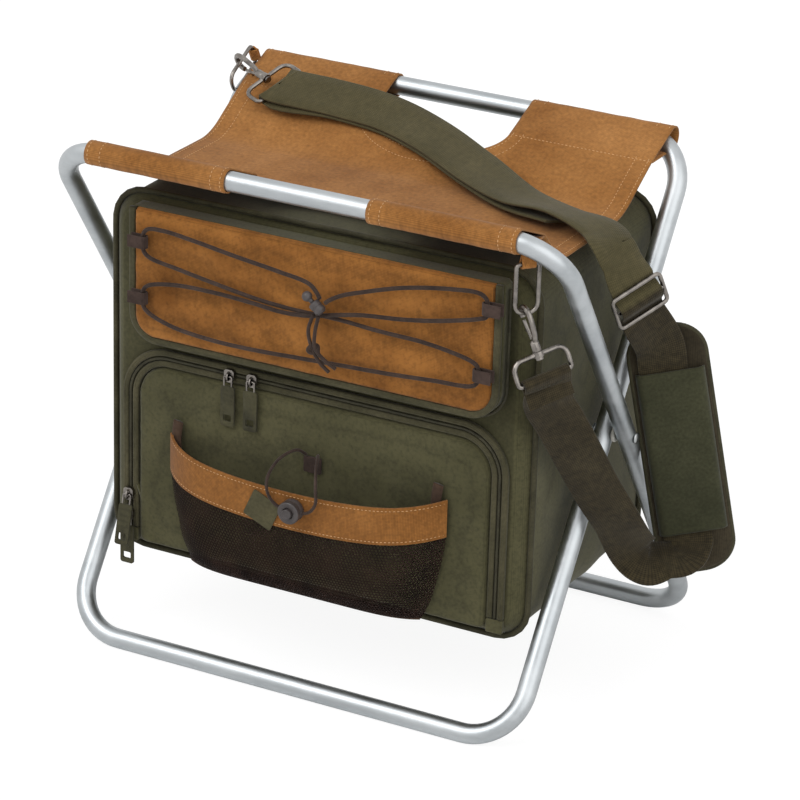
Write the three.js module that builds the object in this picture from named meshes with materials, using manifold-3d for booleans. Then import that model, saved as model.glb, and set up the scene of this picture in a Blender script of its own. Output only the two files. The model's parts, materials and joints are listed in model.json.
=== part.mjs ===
// A folding stool with a soft cooler bag hung between its crossed tube frames.
// Millimetres, +Z up, X along the seat rails, the bag's front towards -Y.
// The origin lies on the floor under the middle of the crossed legs.
import * as THREE from "three";
import { mergeVertices } from "three/addons/utils/BufferGeometryUtils.js";
import Module from "manifold-3d";

const wasm = await Module();
wasm.setup();

// General values
const clearance = 0.3;
const overrun = 5;
const weld = 1e-4;

// Crossed tube frames
const tubeRadius = 8;
const tubeWall = 1.2;
const outerHalfWidth = 225;
const legGap = 3.7;
const seatRailHeight = 429.2;
const seatRailOut = 141.6;
const floorRailOut = 150.3;
const bendRadius = 44;
const tubeSides = 12;
const boreSides = 8;
const bendSteps = 6;

// Pivot rivets and the washers between the legs
const rivetRadius = 2.5;
const rivetHeadRadius = 5.2;
const rivetHeadHeight = 2;
const washerRadius = 7;

// Seat canvas
const canvasThickness = 1.4;
const canvasEdgeGap = 34;
const canvasHalfWidth = outerHalfWidth - canvasEdgeGap;
const notchHalfWidth = 63;
const sleeveRun = 41.6;
const sleeveSeamOut = seatRailOut - sleeveRun;
const notchRun = 30;
const notchBottomOut = sleeveSeamOut - notchRun;
const sleeveSeamDrop = 8;
const frontSlopeRun = 32;
const seatFlatFront = sleeveSeamOut - frontSlopeRun;
const backSlopeRun = 54;
const seatFlatBack = sleeveSeamOut - backSlopeRun;

// Cooler bag
const bagEdgeGap = 1;
const bagHalfWidth = canvasHalfWidth - bagEdgeGap;
const bagDrop = 41.2;
const bagTop = seatRailHeight - bagDrop;
const bagBottom = 77;
const bagHeight = bagTop - bagBottom;
const bagFrontOut = 103;
const bagBackOut = 114;
const bagCornerRadius = 26;
const bagWall = 5;
const linerWall = 1.2;
const pipingRadius = 2.2;
const borderRun = 12;
const borderRise = 9;
const edgeRound = 5;

// Lower flap that closes the cool compartment, and the zip round it
const flapMargin = 28.5;
const flapHalfWidth = bagHalfWidth - flapMargin;
const flapTopShare = 0.5434;
const flapTop = bagBottom + flapTopShare * bagHeight;
const flapFootGap = 7;
const flapBottom = bagBottom + flapFootGap;
const flapCornerRadius = 28;
const flapEdge = 4.7;
const flapDome = 2.8;
const mouthLip = 8;
const weltWidth = 5.6;
const weltHeight = 4.5;
const coilRadius = 1.3;
const coilGap = 3.6;
const zipEndHeight = 13;

// Zip sliders and their pulls
const sliderWidth = 9;
const sliderLength = 11;
const sliderHeight = 3.4;
const bailRadius = 3.4;
const wireRadius = 0.8;
const linkHalfWidth = 3.5;
const linkLength = 9;
const pullWidth = 12.5;
const pullLength = 35;
const pullThickness = 1.8;
const pullWindowWidth = 7.5;
const pullWindowHeight = 6;
const pullWindowMargin = 4;
const topSliderOut = 74;
const topSliderPitch = 21;
const sideSliderRise = 43;
const sideSliderHeight = flapBottom + sideSliderRise;
const sideSliderPitch = 19;
const sidePullTilt = 13;

// Upper pocket, its flap and the bungee on it
const pocketShift = 5;
const pocketMargin = 23;
const pocketHalfWidth = bagHalfWidth - pocketMargin;
const pocketFloorShare = 0.6238;
const pocketBottom = bagBottom + pocketFloorShare * bagHeight;
const pocketCornerRadius = 26;
const gussetDepth = 14;
const gussetWall = 2.2;
const bindingWidth = 6;
const bindingThickness = 4.6;
const pocketDome = 2.6;
const bungeeRadius = 1.7;
const tabHeightShare = 0.0436;
const bungeeTabHalfHeight = tabHeightShare * (bagTop - pocketBottom);
const bungeeTabLength = 13;
const bungeeTabThickness = 1.3;
const lockRadius = 4.8;
const lockLength = 11;
const lockBallRadius = 4.2;
const lockGap = 2.6;
const lockStem = 2;
const tailLength = 52;

// Mesh pocket on the lower flap
const netMargin = 34.5;
const netHalfWidth = flapHalfWidth - netMargin;
const netDepth = 28;
const bandHeight = 27;
const bandThickness = 2;
const bandMiddleShare = 0.2765;
const bandMiddleHeight = bagBottom + bandMiddleShare * bagHeight;
const bandEndRise = 9;
const netFootGap = 3;
const netBottom = flapBottom + netFootGap;
const netTaper = 27;
const netBottomHalfWidth = netHalfWidth - netTaper;
const netThickness = 1;
const netCordRadius = 1.3;
const toggleRadius = 9.5;
const toggleDepth = 11;
const plungerRadius = 4.3;
const plungerStroke = 2.5;
const toggleShift = 5;
const toggleRise = 4;
const loopHalfWidth = 23;
const loopHeight = 36;
const anchorWidth = 16;
const anchorHeight = 14;
const tagWidth = 27;
const tagHeight = 25;
const tagThickness = 1.2;

// Shoulder strap, its pad, slider, rings and hooks
const strapWidth = 40;
const strapThickness = 2;
const strapTurn = 65.2;
const padTurn = 28;
const padLean = 11;
const buckleTurn = 58;
const hookTurn = 50;
const padWidth = 63;
const padLength = 218;
const padThickness = 6;
const padDrop = 28.4;
const padAside = 38;
const padBehind = 19.5;
const padEndRadius = 26;
const sleeveWidth = 55;
const sleeveLength = 143;
const sleeveThickness = 1.4;
const buckleWire = 1.7;
const buckleHeight = 30;
const buckleSlack = 1.5;
const buckleTilt = 0.42;
const weaveRun = 2.5;
const ringWire = 1.6;
const ringWidth = 19;
const ringLength = 40;
const hookWire = 2;
const hookBow = 7;
const hookSpine = 20;
const barrelRadius = 3.6;
const barrelLength = 9;
const swivelRadius = 1.6;
const eyeBossRadius = 4.2;
const eyeBossHeight = 4.5;
const eyeWire = 1.8;
const eyeHeight = 17;
const gateRadius = 1.3;
const cornerTabWidth = 11.5;
const cornerTabThickness = 1.4;

// Finishes
const finish = (color, roughness, metalness = 0) =>
  new THREE.MeshStandardMaterial({ color, roughness, metalness });
const aluminium = finish(0xc3c7c9, 0.35, 1);
const nickel = finish(0xa8a29a, 0.3, 1);
const nylon = finish(0xd8d6d0, 0.6);
const tanCanvas = finish(0xa66f3f, 0.9);
const tanPanel = finish(0x8e5d31, 0.85);
const oliveCloth = finish(0x4b4a33, 0.85);
const oliveTrim = finish(0x5c5a42, 0.8);
const webbing = finish(0x4a4233, 0.85);
const cordCloth = finish(0x3f322c, 0.8);
const netCloth = finish(0x35292a, 0.9);
const foil = finish(0xb9bcc0, 0.35, 0.6);
const darkPlastic = finish(0x4a4444, 0.5);

const X = new THREE.Vector3(1, 0, 0);
const Z = new THREE.Vector3(0, 0, 1);
const point = (x, y, z) => new THREE.Vector3(x, y, z);

// Solids and geometry
// A closed geometry as a solid whose faces point out.
function solidOf(geometry) {
  const bare = geometry.clone();
  bare.deleteAttribute("normal");
  bare.deleteAttribute("uv");
  const merged = mergeVertices(bare, weld);
  const corners = [];
  for (let i = 0; i < merged.index.count; i += 3) {
    const [a, b, c] = [0, 1, 2].map((k) => merged.index.getX(i + k));
    if (a !== b && b !== c && c !== a) corners.push(a, b, c);
  }
  const build = (triVerts) =>
    new wasm.Manifold(
      new wasm.Mesh({
        numProp: 3,
        vertProperties: new Float32Array(merged.attributes.position.array),
        triVerts: new Uint32Array(triVerts),
      }),
    );
  const solid = build(corners);
  return solid.volume() > 0 ? solid : build(corners.toReversed());
}

// A solid as a geometry with flat faces.
function geometryOf(solid) {
  const { numProp, vertProperties, triVerts } = solid.getMesh();
  const geometry = new THREE.BufferGeometry();
  const places = [];
  for (const corner of triVerts) {
    const first = corner * numProp;
    places.push(...vertProperties.subarray(first, first + 3));
  }
  geometry.setAttribute("position", new THREE.Float32BufferAttribute(places, 3));
  geometry.computeVertexNormals();
  return geometry;
}

function named(name, shape, material) {
  const solid = shape.isBufferGeometry ? solidOf(shape) : shape;
  const mesh = new THREE.Mesh(geometryOf(solid), material);
  mesh.name = name;
  return mesh;
}

// Triangles that fill an outline and run the same way round as it does.
function capFaces(outline) {
  const faces = THREE.ShapeUtils.triangulateShape(outline, []);
  return THREE.ShapeUtils.isClockWise(outline) ? faces.map((face) => face.toReversed()) : faces;
}

// A closed surface through rings of points. Open ends are capped by the flat outlines given.
function skin(rings, closed, firstCap, lastCap) {
  const count = rings[0].length;
  const faces = [];
  const spans = closed ? rings.length : rings.length - 1;
  for (let i = 0; i < spans; i += 1) {
    const next = ((i + 1) % rings.length) * count;
    for (let k = 0; k < count; k += 1) {
      const across = (k + 1) % count;
      faces.push(i * count + k, i * count + across, next + across);
      faces.push(i * count + k, next + across, next + k);
    }
  }
  if (!closed) {
    const last = (rings.length - 1) * count;
    capFaces(firstCap).forEach(([a, b, c]) => faces.push(c, b, a));
    capFaces(lastCap).forEach(([a, b, c]) => faces.push(last + a, last + b, last + c));
  }
  const geometry = new THREE.BufferGeometry();
  const places = rings.flat().flatMap((p) => [p.x, p.y, p.z]);
  geometry.setAttribute("position", new THREE.Float32BufferAttribute(places, 3));
  geometry.setIndex(faces);
  return geometry;
}

// Tangents of a path of points.
function tangents(points, closed) {
  const last = points.length - 1;
  return points.map((_, i) => {
    const before = points[i === 0 ? (closed ? last : 0) : i - 1];
    const after = points[i === last ? (closed ? 0 : last) : i + 1];
    return after.clone().sub(before).normalize();
  });
}

// Carries a flat section along a path. The section's first axis stays as near to side as it can,
// or turns as little as it can where no side is given.
function sweep(points, section, { side = null, closed = false } = {}) {
  const outline = section.map(([a, b]) => new THREE.Vector2(a, b));
  if (THREE.ShapeUtils.isClockWise(outline)) outline.reverse();
  const along = tangents(points, closed);
  const given = Array.isArray(side) ? side : side && points.map(() => side);
  let carried = Math.abs(along[0].z) < 0.9 ? Z : X;
  const rings = points.map((p, i) => {
    const hint = given ? given[i] : carried;
    const first = hint.clone().addScaledVector(along[i], -hint.dot(along[i])).normalize();
    const second = along[i].clone().cross(first);
    carried = first;
    return outline.map((q) => p.clone().addScaledVector(first, q.x).addScaledVector(second, q.y));
  });
  return skin(rings, closed, outline, outline);
}

// A regular section whose flats lie at the radius, one of them facing the angle given.
function round(radius, sides, facing = 0) {
  const reach = radius / Math.cos(Math.PI / sides);
  return Array.from({ length: sides }, (_, k) => {
    const angle = facing + ((2 * k + 1) * Math.PI) / sides;
    return [reach * Math.cos(angle), reach * Math.sin(angle)];
  });
}

const flat = (width, thickness) => [
  [-width / 2, -thickness / 2],
  [width / 2, -thickness / 2],
  [width / 2, thickness / 2],
  [-width / 2, thickness / 2],
];

// The outline of a rounded rectangle, counter-clockwise from the end of its lower left corner.
function roundedOutline(left, right, low, high, lowRadius, highRadius, steps) {
  const corners = [
    [right, low, -1, 1, lowRadius, -0.5],
    [right, high, -1, -1, highRadius, 0],
    [left, high, 1, -1, highRadius, 0.5],
    [left, low, 1, 1, lowRadius, 1],
  ];
  return corners.flatMap(([x, z, inX, inZ, radius, start]) =>
    Array.from({ length: steps + 1 }, (_, i) => {
      const angle = Math.PI * (start + (0.5 * i) / steps);
      return new THREE.Vector2(
        x + inX * radius + radius * Math.cos(angle),
        z + inZ * radius + radius * Math.sin(angle),
      );
    }),
  );
}

// A solid through upright outlines at their own distances to the front.
function loft(levels) {
  const rings = levels.map(({ out, outline }) => outline.map((p) => point(p.x, -out, p.y)));
  return skin(rings, false, levels[0].outline, levels.at(-1).outline);
}

function turned(profile, segments) {
  return new THREE.LatheGeometry(
    profile.map(([r, h]) => new THREE.Vector2(r, h)),
    segments,
  );
}

// An upright plate with its back at one distance and its front at the next.
function plate(outline, back, front) {
  return loft([
    { out: back, outline },
    { out: front, outline },
  ]);
}

const smooth = (points, count) => new THREE.CatmullRomCurve3(points).getPoints(count);

// Crossed frames: two closed loops of bent tube
const innerHalfWidth = outerHalfWidth - 2 * tubeRadius - legGap;
const floorRailHeight = tubeRadius;
const pivotHeight =
  floorRailHeight +
  ((seatRailHeight - floorRailHeight) * floorRailOut) / (floorRailOut + seatRailOut);
const tubeReach = tubeRadius / Math.cos(Math.PI / tubeSides);

// The loop of one frame: its seat rail is towards seatSide, its floor rail on the other side.
function frameLoop(halfWidth, seatSide) {
  const low = point(0, -seatSide * floorRailOut, floorRailHeight);
  const high = point(0, seatSide * seatRailOut, seatRailHeight);
  const up = high.clone().sub(low).normalize();
  const reach = high.distanceTo(low);
  const outline = roundedOutline(-halfWidth, halfWidth, 0, reach, bendRadius, bendRadius, bendSteps);
  const points = outline.map((p) => low.clone().addScaledVector(X, p.x).addScaledVector(up, p.y));
  return { points, facing: X.clone().cross(up) };
}

// A facet of the tube faces straight down, so that the floor rail rests on it.
function tubeAlong({ points, facing }, radius, sides) {
  const second = X.clone().cross(facing);
  const turn = Math.atan2(-second.z, -facing.z);
  return solidOf(sweep(points, round(radius, sides, turn), { side: facing, closed: true }));
}

function bentFrame(halfWidth, seatSide) {
  const loop = frameLoop(halfWidth, seatSide);
  const shell = tubeAlong(loop, tubeRadius, tubeSides);
  const bore = tubeAlong(loop, tubeRadius - tubeWall, boreSides);
  const holes = new THREE.CylinderGeometry(
    rivetRadius + clearance,
    rivetRadius + clearance,
    2 * (halfWidth + tubeReach + overrun),
    tubeSides,
  );
  holes.rotateZ(Math.PI / 2).translate(0, 0, pivotHeight);
  return shell.subtract(bore).subtract(solidOf(holes));
}

// A solid rivet with a domed head at each side of the two legs, and the washer between them.
function pivotRivet(sign) {
  const inner = innerHalfWidth - tubeReach - clearance;
  const outer = outerHalfWidth + tubeReach + clearance;
  const dome = [1, 0.92, 0.7, 0.38, 0].map((share) => [
    rivetHeadRadius * share,
    rivetHeadHeight * Math.sqrt(1 - share * share),
  ]);
  const profile = [
    [0, inner - rivetHeadHeight],
    ...dome
      .toReversed()
      .slice(1)
      .map(([r, h]) => [r, inner - h]),
    [rivetRadius, inner],
    [rivetRadius, outer],
    ...dome.slice(0, -1).map(([r, h]) => [r, outer + h]),
    [0, outer + rivetHeadHeight],
  ];
  return turned(profile, tubeSides)
    .rotateZ(-Math.PI / 2)
    .scale(sign, 1, 1)
    .translate(0, 0, pivotHeight);
}

function legWasher(sign) {
  const inner = innerHalfWidth + tubeReach + clearance;
  const outer = outerHalfWidth - tubeReach - clearance;
  const bore = rivetRadius + clearance;
  const profile = [
    [bore, inner],
    [washerRadius, inner],
    [washerRadius, outer],
    [bore, outer],
    [bore, inner],
  ];
  return turned(profile, tubeSides)
    .rotateZ(-Math.PI / 2)
    .scale(sign, 1, 1)
    .translate(0, 0, pivotHeight);
}

// Seat canvas: one cloth that wraps both seat rails in sleeves and rests on the bag between them
const canvasUnderside = bagTop + clearance;

// Half of the cloth's middle line, from the loose edge of the sleeve to the seat's flat part.
function sleeveLine(flatOut) {
  const wrap = tubeReach + clearance + canvasThickness / 2;
  const seam = new THREE.Vector2(sleeveSeamOut, seatRailHeight - sleeveSeamDrop);
  const rail = new THREE.Vector2(seatRailOut, seatRailHeight);
  const away = seam.clone().sub(rail);
  const apart = away.length();
  const toSeam = Math.atan2(away.y, away.x);
  const open = Math.acos(wrap / apart);
  const wrapSteps = 12;
  const arc = Array.from({ length: wrapSteps + 1 }, (_, i) => {
    const angle = toSeam + open + ((2 * Math.PI - 2 * open) * i) / wrapSteps;
    return new THREE.Vector2(rail.x + wrap * Math.cos(angle), rail.y + wrap * Math.sin(angle));
  });
  const apartAtSeam = (canvasThickness + clearance) / 2;
  const lower = seam.clone().add(new THREE.Vector2(0, -apartAtSeam));
  const upper = seam.clone().add(new THREE.Vector2(0, apartAtSeam));
  const rest = new THREE.Vector2(flatOut, canvasUnderside + canvasThickness / 2);
  return [lower, ...arc, upper, rest];
}

// The closed outline of a cloth of the thickness given along a line.
function clothOutline(line, thickness) {
  const offset = (way) =>
    line.map((p, i) => {
      const before = line[Math.max(i - 1, 0)];
      const after = line[Math.min(i + 1, line.length - 1)];
      const into = p.clone().sub(before);
      const out = after.clone().sub(p);
      if (into.length() === 0) into.copy(out);
      if (out.length() === 0) out.copy(into);
      const mid = into.normalize().add(out.normalize()).normalize();
      const reach = (way * thickness) / 2 / Math.max(mid.dot(out), 0.5);
      return new THREE.Vector2(p.x - mid.y * reach, p.y + mid.x * reach);
    });
  return [...offset(1), ...offset(-1).toReversed()];
}

function seatCanvas(frames) {
  const front = sleeveLine(seatFlatFront).map((p) => new THREE.Vector2(-p.x, p.y));
  const back = sleeveLine(seatFlatBack);
  // The back sleeve's line runs the other way round its rail, so both loose edges lie below.
  const outline = clothOutline([...front, ...back.toReversed()], canvasThickness);
  const rings = [-canvasHalfWidth, canvasHalfWidth].map((x) =>
    outline.map((p) => point(x, p.x, p.y)),
  );
  let cloth = solidOf(skin(rings, false, outline, outline));
  const notchHeight = 2 * seatRailHeight;
  const notch = new THREE.Shape();
  const cutOut = seatRailOut + tubeReach + overrun;
  notch.moveTo(-notchHalfWidth, cutOut);
  notch.lineTo(-notchHalfWidth, sleeveSeamOut);
  notch.absellipse(0, sleeveSeamOut, notchHalfWidth, sleeveSeamOut - notchBottomOut, Math.PI, 2 * Math.PI);
  notch.lineTo(notchHalfWidth, cutOut);
  const cut = new THREE.ExtrudeGeometry(notch, {
    depth: notchHeight,
    bevelEnabled: false,
    curveSegments: bendSteps,
  });
  const backCut = solidOf(cut);
  const frontCut = solidOf(cut.clone().rotateZ(Math.PI));
  cloth = cloth.subtract(backCut).subtract(frontCut);
  frames.forEach((frame) => {
    cloth = cloth.subtract(frame);
  });
  return cloth;
}

// Cooler bag: a padded box whose front is domed from its piping to the zip
const faceOut = bagFrontOut + borderRise;

function bagOutline(inset, steps = bendSteps) {
  const radius = Math.max(bagCornerRadius - inset, bagWall);
  return roundedOutline(
    -bagHalfWidth + inset,
    bagHalfWidth - inset,
    bagBottom + inset,
    bagTop - inset,
    radius,
    radius,
    steps,
  );
}

function flapOutline(grow, steps = bendSteps) {
  const radius = Math.max(flapCornerRadius + grow, coilGap);
  const lowRadius = Math.max(mouthLip + grow, coilGap);
  return roundedOutline(
    -flapHalfWidth - grow,
    flapHalfWidth + grow,
    flapBottom - grow,
    flapTop + grow,
    lowRadius,
    radius,
    steps,
  );
}

// The bag's outside brought in on all sides.
function bagHollow(inset) {
  return solidOf(
    loft([
      { out: -bagBackOut + inset, outline: bagOutline(inset) },
      { out: bagFrontOut - inset, outline: bagOutline(inset) },
      { out: faceOut - inset, outline: bagOutline(borderRun + inset / 2) },
    ]),
  );
}

function bagShell() {
  const outside = loft([
    { out: -bagBackOut, outline: bagOutline(edgeRound) },
    { out: -bagBackOut + edgeRound, outline: bagOutline(0) },
    { out: bagFrontOut - pipingRadius, outline: bagOutline(0) },
    { out: bagFrontOut, outline: bagOutline(pipingRadius) },
    { out: bagFrontOut + borderRise / 2, outline: bagOutline(borderRun / 2) },
    { out: faceOut, outline: bagOutline(borderRun) },
  ]);
  const inside = bagHollow(bagWall);
  const mouth = plate(flapOutline(-mouthLip), bagFrontOut - bagWall, faceOut + overrun);
  return solidOf(outside).subtract(inside).subtract(solidOf(mouth));
}

// Foil-faced foam liner, open behind the flap.
function bagLiner() {
  const outer = bagWall + clearance;
  const inner = outer + linerWall;
  const mouth = plate(flapOutline(-mouthLip), 0, faceOut + overrun);
  return bagHollow(outer).subtract(bagHollow(inner)).subtract(solidOf(mouth));
}

// Corded piping sewn into the edge of the front or the back panel.
function bagPiping(out) {
  const line = bagOutline(-pipingRadius - clearance).map((p) => point(p.x, -out, p.y));
  return sweep(line, round(pipingRadius, 8), { side: point(0, 1, 0), closed: true });
}

// The zip's run up one side of the flap, over its top and down the other side.
const zipFoot = flapBottom + zipEndHeight;

function zipRun(grow, out, foot = zipFoot) {
  const outline = flapOutline(grow, bendSteps + 2);
  const upper = outline.filter((p) => p.y > (flapTop + flapBottom) / 2);
  const ends = [flapHalfWidth + grow, -flapHalfWidth - grow];
  const run = [new THREE.Vector2(ends[0], foot), ...upper, new THREE.Vector2(ends[1], foot)];
  return run.map((p) => point(p.x, -out, p.y));
}

const innerWelt = 2 * clearance + weltWidth / 2;
const coilLine = innerWelt + weltWidth / 2 + coilGap / 2;
const outerWelt = coilLine + coilGap / 2 + weltWidth / 2;
const weltOut = faceOut + clearance + weltHeight / 2;
const frontWay = point(0, -1, 0);

function zipWelt(grow) {
  return sweep(zipRun(grow, weltOut), flat(weltHeight, weltWidth), { side: frontWay });
}

function zipCoil() {
  const out = faceOut + clearance + weltHeight - coilRadius;
  return sweep(zipRun(coilLine, out), round(coilRadius, 6), { side: frontWay });
}

// A cloth tab sewn over each end of the zip.
function zipEndTab(sign) {
  const middle = sign * (flapHalfWidth + coilLine);
  const half = weltWidth + coilGap / 2;
  const outline = roundedOutline(
    middle - half,
    middle + half,
    flapBottom,
    zipFoot - 4 * clearance,
    coilRadius,
    coilRadius,
    2,
  );
  return plate(outline, faceOut + clearance, faceOut + clearance + weltHeight);
}

// Lower flap: padded, slightly domed
const flapFront = faceOut + clearance + flapEdge + flapDome;

function lowerFlap() {
  const back = faceOut + clearance;
  const domeShares = [
    [0, 0],
    [0.06, 0.4],
    [0.25, 0.75],
    [0.6, 1],
  ];
  const half = (flapTop - flapBottom) / 2;
  return loft([
    { out: back, outline: flapOutline(0) },
    ...domeShares.map(([inset, rise]) => ({
      out: back + flapEdge + flapDome * rise,
      outline: flapOutline(-inset * half),
    })),
  ]);
}

// Zip slider that straddles the coil, with a wire bail for its pull. It lies along local Z.
function zipSlider() {
  const half = sliderWidth / 2;
  const end = sliderLength / 2;
  const body = new THREE.Shape();
  body.moveTo(-half * 0.55, -end);
  body.lineTo(half * 0.55, -end);
  body.lineTo(half, -end * 0.35);
  body.lineTo(half, end * 0.7);
  body.lineTo(half * 0.6, end);
  body.lineTo(-half * 0.6, end);
  body.lineTo(-half, end * 0.7);
  body.lineTo(-half, -end * 0.35);
  const block = plate(body.getPoints(), 0, sliderHeight);
  const bail = Array.from({ length: 9 }, (_, i) => {
    const angle = (Math.PI * i) / 8;
    return point(0, -sliderHeight - bailRadius * Math.sin(angle), bailRadius * Math.cos(angle));
  });
  bail.unshift(point(0, -sliderHeight / 2, bailRadius));
  bail.push(point(0, -sliderHeight / 2, -bailRadius));
  return solidOf(block).add(solidOf(sweep(bail, round(wireRadius, 6), { side: X })));
}

// Webbing pull with a small window at its end, on a wire link. It hangs from the origin.
function zipPull() {
  const bend = 1.5 * wireRadius;
  const link = roundedOutline(-linkHalfWidth, linkHalfWidth, -linkLength, 0, bend, bend, 2);
  const wire = sweep(
    link.map((p) => point(p.x, 0, p.y)),
    round(wireRadius, 6),
    { side: frontWay, closed: true },
  );
  const high = wireRadius - linkLength;
  const half = pullWidth / 2;
  const tab = roundedOutline(-half, half, high - pullLength, high, wireRadius, wireRadius, 2);
  const windowLow = high - pullLength + pullWindowMargin;
  const opening = roundedOutline(
    -pullWindowWidth / 2,
    pullWindowWidth / 2,
    windowLow,
    windowLow + pullWindowHeight,
    wireRadius,
    wireRadius,
    2,
  );
  const thick = pullThickness / 2;
  const plateSolid = solidOf(plate(tab, -thick, thick));
  const windowSolid = solidOf(plate(opening, -thick - overrun, thick + overrun));
  return plateSolid.subtract(windowSolid).add(solidOf(wire));
}

// The pull's link hangs in the middle of the bail's opening.
const sliderBase = faceOut + 2 * clearance + weltHeight;
const bailReach = bailRadius - wireRadius / Math.cos(Math.PI / 6);
const pullPivotOut = sliderBase + sliderHeight + bailReach / 2;
const coilHeight = flapTop + coilLine;
const coilSide = flapHalfWidth + coilLine;

// The upper pull at the side rests on the slider below it.
const zipPlaces = [
  ["top_left", -topSliderOut, coilHeight, 0],
  ["top_right", -topSliderOut + topSliderPitch, coilHeight, 0],
  ["side_upper", -coilSide, sideSliderHeight, sidePullTilt],
  ["side_lower", -coilSide, sideSliderHeight - sideSliderPitch, 0],
];

function zipHardware(flapGroup) {
  zipPlaces.forEach(([place, x, z, tilt]) => {
    const slider = named("zip_slider_" + place, zipSlider(), nickel);
    slider.position.set(x, -sliderBase, z);
    const pull = named("zip_pull_" + place, zipPull(), oliveTrim);
    pull.position.set(x, -pullPivotOut, z);
    pull.rotation.x = -THREE.MathUtils.degToRad(tilt);
    flapGroup.add(slider, pull);
  });
}

// Upper pocket: a gusset on the bag's front and a bound flap that hangs from its top edge
const pocketTop = bagTop - pipingRadius;
const gussetOut = faceOut + clearance;
const pocketFlapBack = gussetOut + gussetDepth + clearance;

function pocketOutline(inset, top = pocketTop, steps = bendSteps) {
  const radius = Math.max(pocketCornerRadius - inset, gussetWall);
  return roundedOutline(
    pocketShift - pocketHalfWidth + inset,
    pocketShift + pocketHalfWidth - inset,
    pocketBottom + inset,
    top,
    radius,
    gussetWall,
    steps,
  );
}

function pocketGusset() {
  const ring = plate(pocketOutline(0), gussetOut, gussetOut + gussetDepth);
  const hollow = plate(
    pocketOutline(gussetWall, pocketTop - gussetWall),
    gussetOut - overrun,
    gussetOut + gussetDepth + overrun,
  );
  return solidOf(ring).subtract(solidOf(hollow));
}

// The U-shaped path round the pocket's sides and bottom.
function pocketRun(inset, out, top) {
  const lower = pocketOutline(inset).filter((p) => p.y < (pocketTop + pocketBottom) / 2);
  const half = pocketHalfWidth - inset;
  const middle = lower.length / 2;
  const run = [
    new THREE.Vector2(pocketShift - half, top),
    ...lower.slice(middle),
    ...lower.slice(0, middle),
    new THREE.Vector2(pocketShift + half, top),
  ];
  return run.map((p) => point(p.x, -out, p.y));
}

function pocketZip() {
  const out = gussetOut + gussetDepth / 2;
  return sweep(
    pocketRun(-coilRadius - 2 * clearance, out, pocketTop - bindingWidth),
    round(coilRadius, 6),
    { side: frontWay },
  );
}

function pocketBinding() {
  const out = pocketFlapBack + bindingThickness / 2;
  return sweep(
    pocketRun(bindingWidth / 2, out, pocketTop - clearance),
    flat(bindingThickness, bindingWidth),
    { side: frontWay },
  );
}

const panelInset = bindingWidth + clearance;
const panelFront = pocketFlapBack + bindingThickness + pocketDome;

function pocketPanel() {
  const top = pocketTop - clearance;
  const dome = [
    [0, 0, 0.75],
    [0.12, 0.08, 0.95],
    [0.45, 0.3, 1],
  ];
  const half = (pocketTop - pocketBottom) / 2;
  return loft([
    { out: pocketFlapBack, outline: pocketOutline(panelInset, top) },
    ...dome.map(([inset, drop, share]) => ({
      out: pocketFlapBack + (bindingThickness + pocketDome) * share,
      outline: pocketOutline(panelInset + inset * half, top - drop * half),
    })),
  ]);
}

// Bungee laced through four webbing tabs and drawn together by a cord lock.
const bungeeReach = bungeeRadius / Math.cos(Math.PI / 8);
const bungeeOut = panelFront + 3 * clearance + bungeeTabThickness + bungeeReach;
const crossOut = bungeeOut + 2 * bungeeRadius + 2 * clearance;
// Places on the panel as shares of its half width and height. Third is how far out the cord runs
// there, as a share of its distance at a crossing.
const panelPlace = (across, high) => [
  pocketShift + across * pocketHalfWidth,
  pocketBottom + high * (pocketTop - pocketBottom),
];
const lockShares = [0.1018, 0.6272];
const lacingShares = [
  [-0.1377, 0.7883, 0.3],
  [-0.3892, 0.8275, 0],
  [-0.6048, 0.8711, 0],
  [-0.7784, 0.8972, 0],
  [-0.8683, 0.8841, 0],
  [-0.8922, 0.8406, 0],
  [-0.8922, 0.7273, 0],
  [-0.8653, 0.6838, 0],
  [-0.6886, 0.6359, 0],
  [-0.491, 0.5923, 0],
  [-0.2695, 0.5488, 0],
  [-0.0778, 0.5314, 0],
  [0.1796, 0.5314, 0],
  [0.3892, 0.5139, 0],
  [0.6168, 0.5052, 0],
  [0.7725, 0.4791, 0],
  [0.8802, 0.4442, 0],
  [0.9102, 0.4138, 0],
  [0.9102, 0.3005, 0],
  [0.8802, 0.2657, 0],
  [0.6886, 0.2439, 0],
  [0.4491, 0.2178, 0],
  [0.2096, 0.2003, 0],
  [-0.0299, 0.1829, 0],
  [-0.2695, 0.1655, 0],
  [-0.509, 0.1655, 0],
  [-0.7365, 0.2003, 0],
  [-0.8653, 0.2657, 0],
  [-0.8922, 0.3092, 0],
  [-0.8922, 0.4225, 0],
  [-0.8653, 0.466, 0],
  [-0.7186, 0.5139, 0],
  [-0.491, 0.527, 0.2],
  [-0.2695, 0.5226, 0.8],
  [-0.1198, 0.5096, 1],
  [0.018, 0.5226, 1],
  [0.1737, 0.5749, 1],
  [0.3054, 0.6097, 0.6],
  [0.509, 0.6359, 0.1],
  [0.6886, 0.6794, 0],
  [0.9102, 0.7622, 0],
  [0.9461, 0.7883, 0],
  [0.9461, 0.9016, 0],
  [0.9132, 0.9408, 0],
  [0.7725, 0.9321, 0],
  [0.509, 0.8624, 0],
  [0.3174, 0.7796, 0.3],
];
// The cord's two ends at the lock, from its middle as shares of its radius.
const lacingStartShares = [
  [0.292, 1.583, 2.7],
  [-0.521, 2.292, 2.1],
  [-2.5, 3.229, 1.1],
];
const lacingEndShares = [
  [3.75, 2.5, 1.3],
  [1.875, 1.562, 2.4],
  [1.25, 1, 2.7],
];

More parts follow.
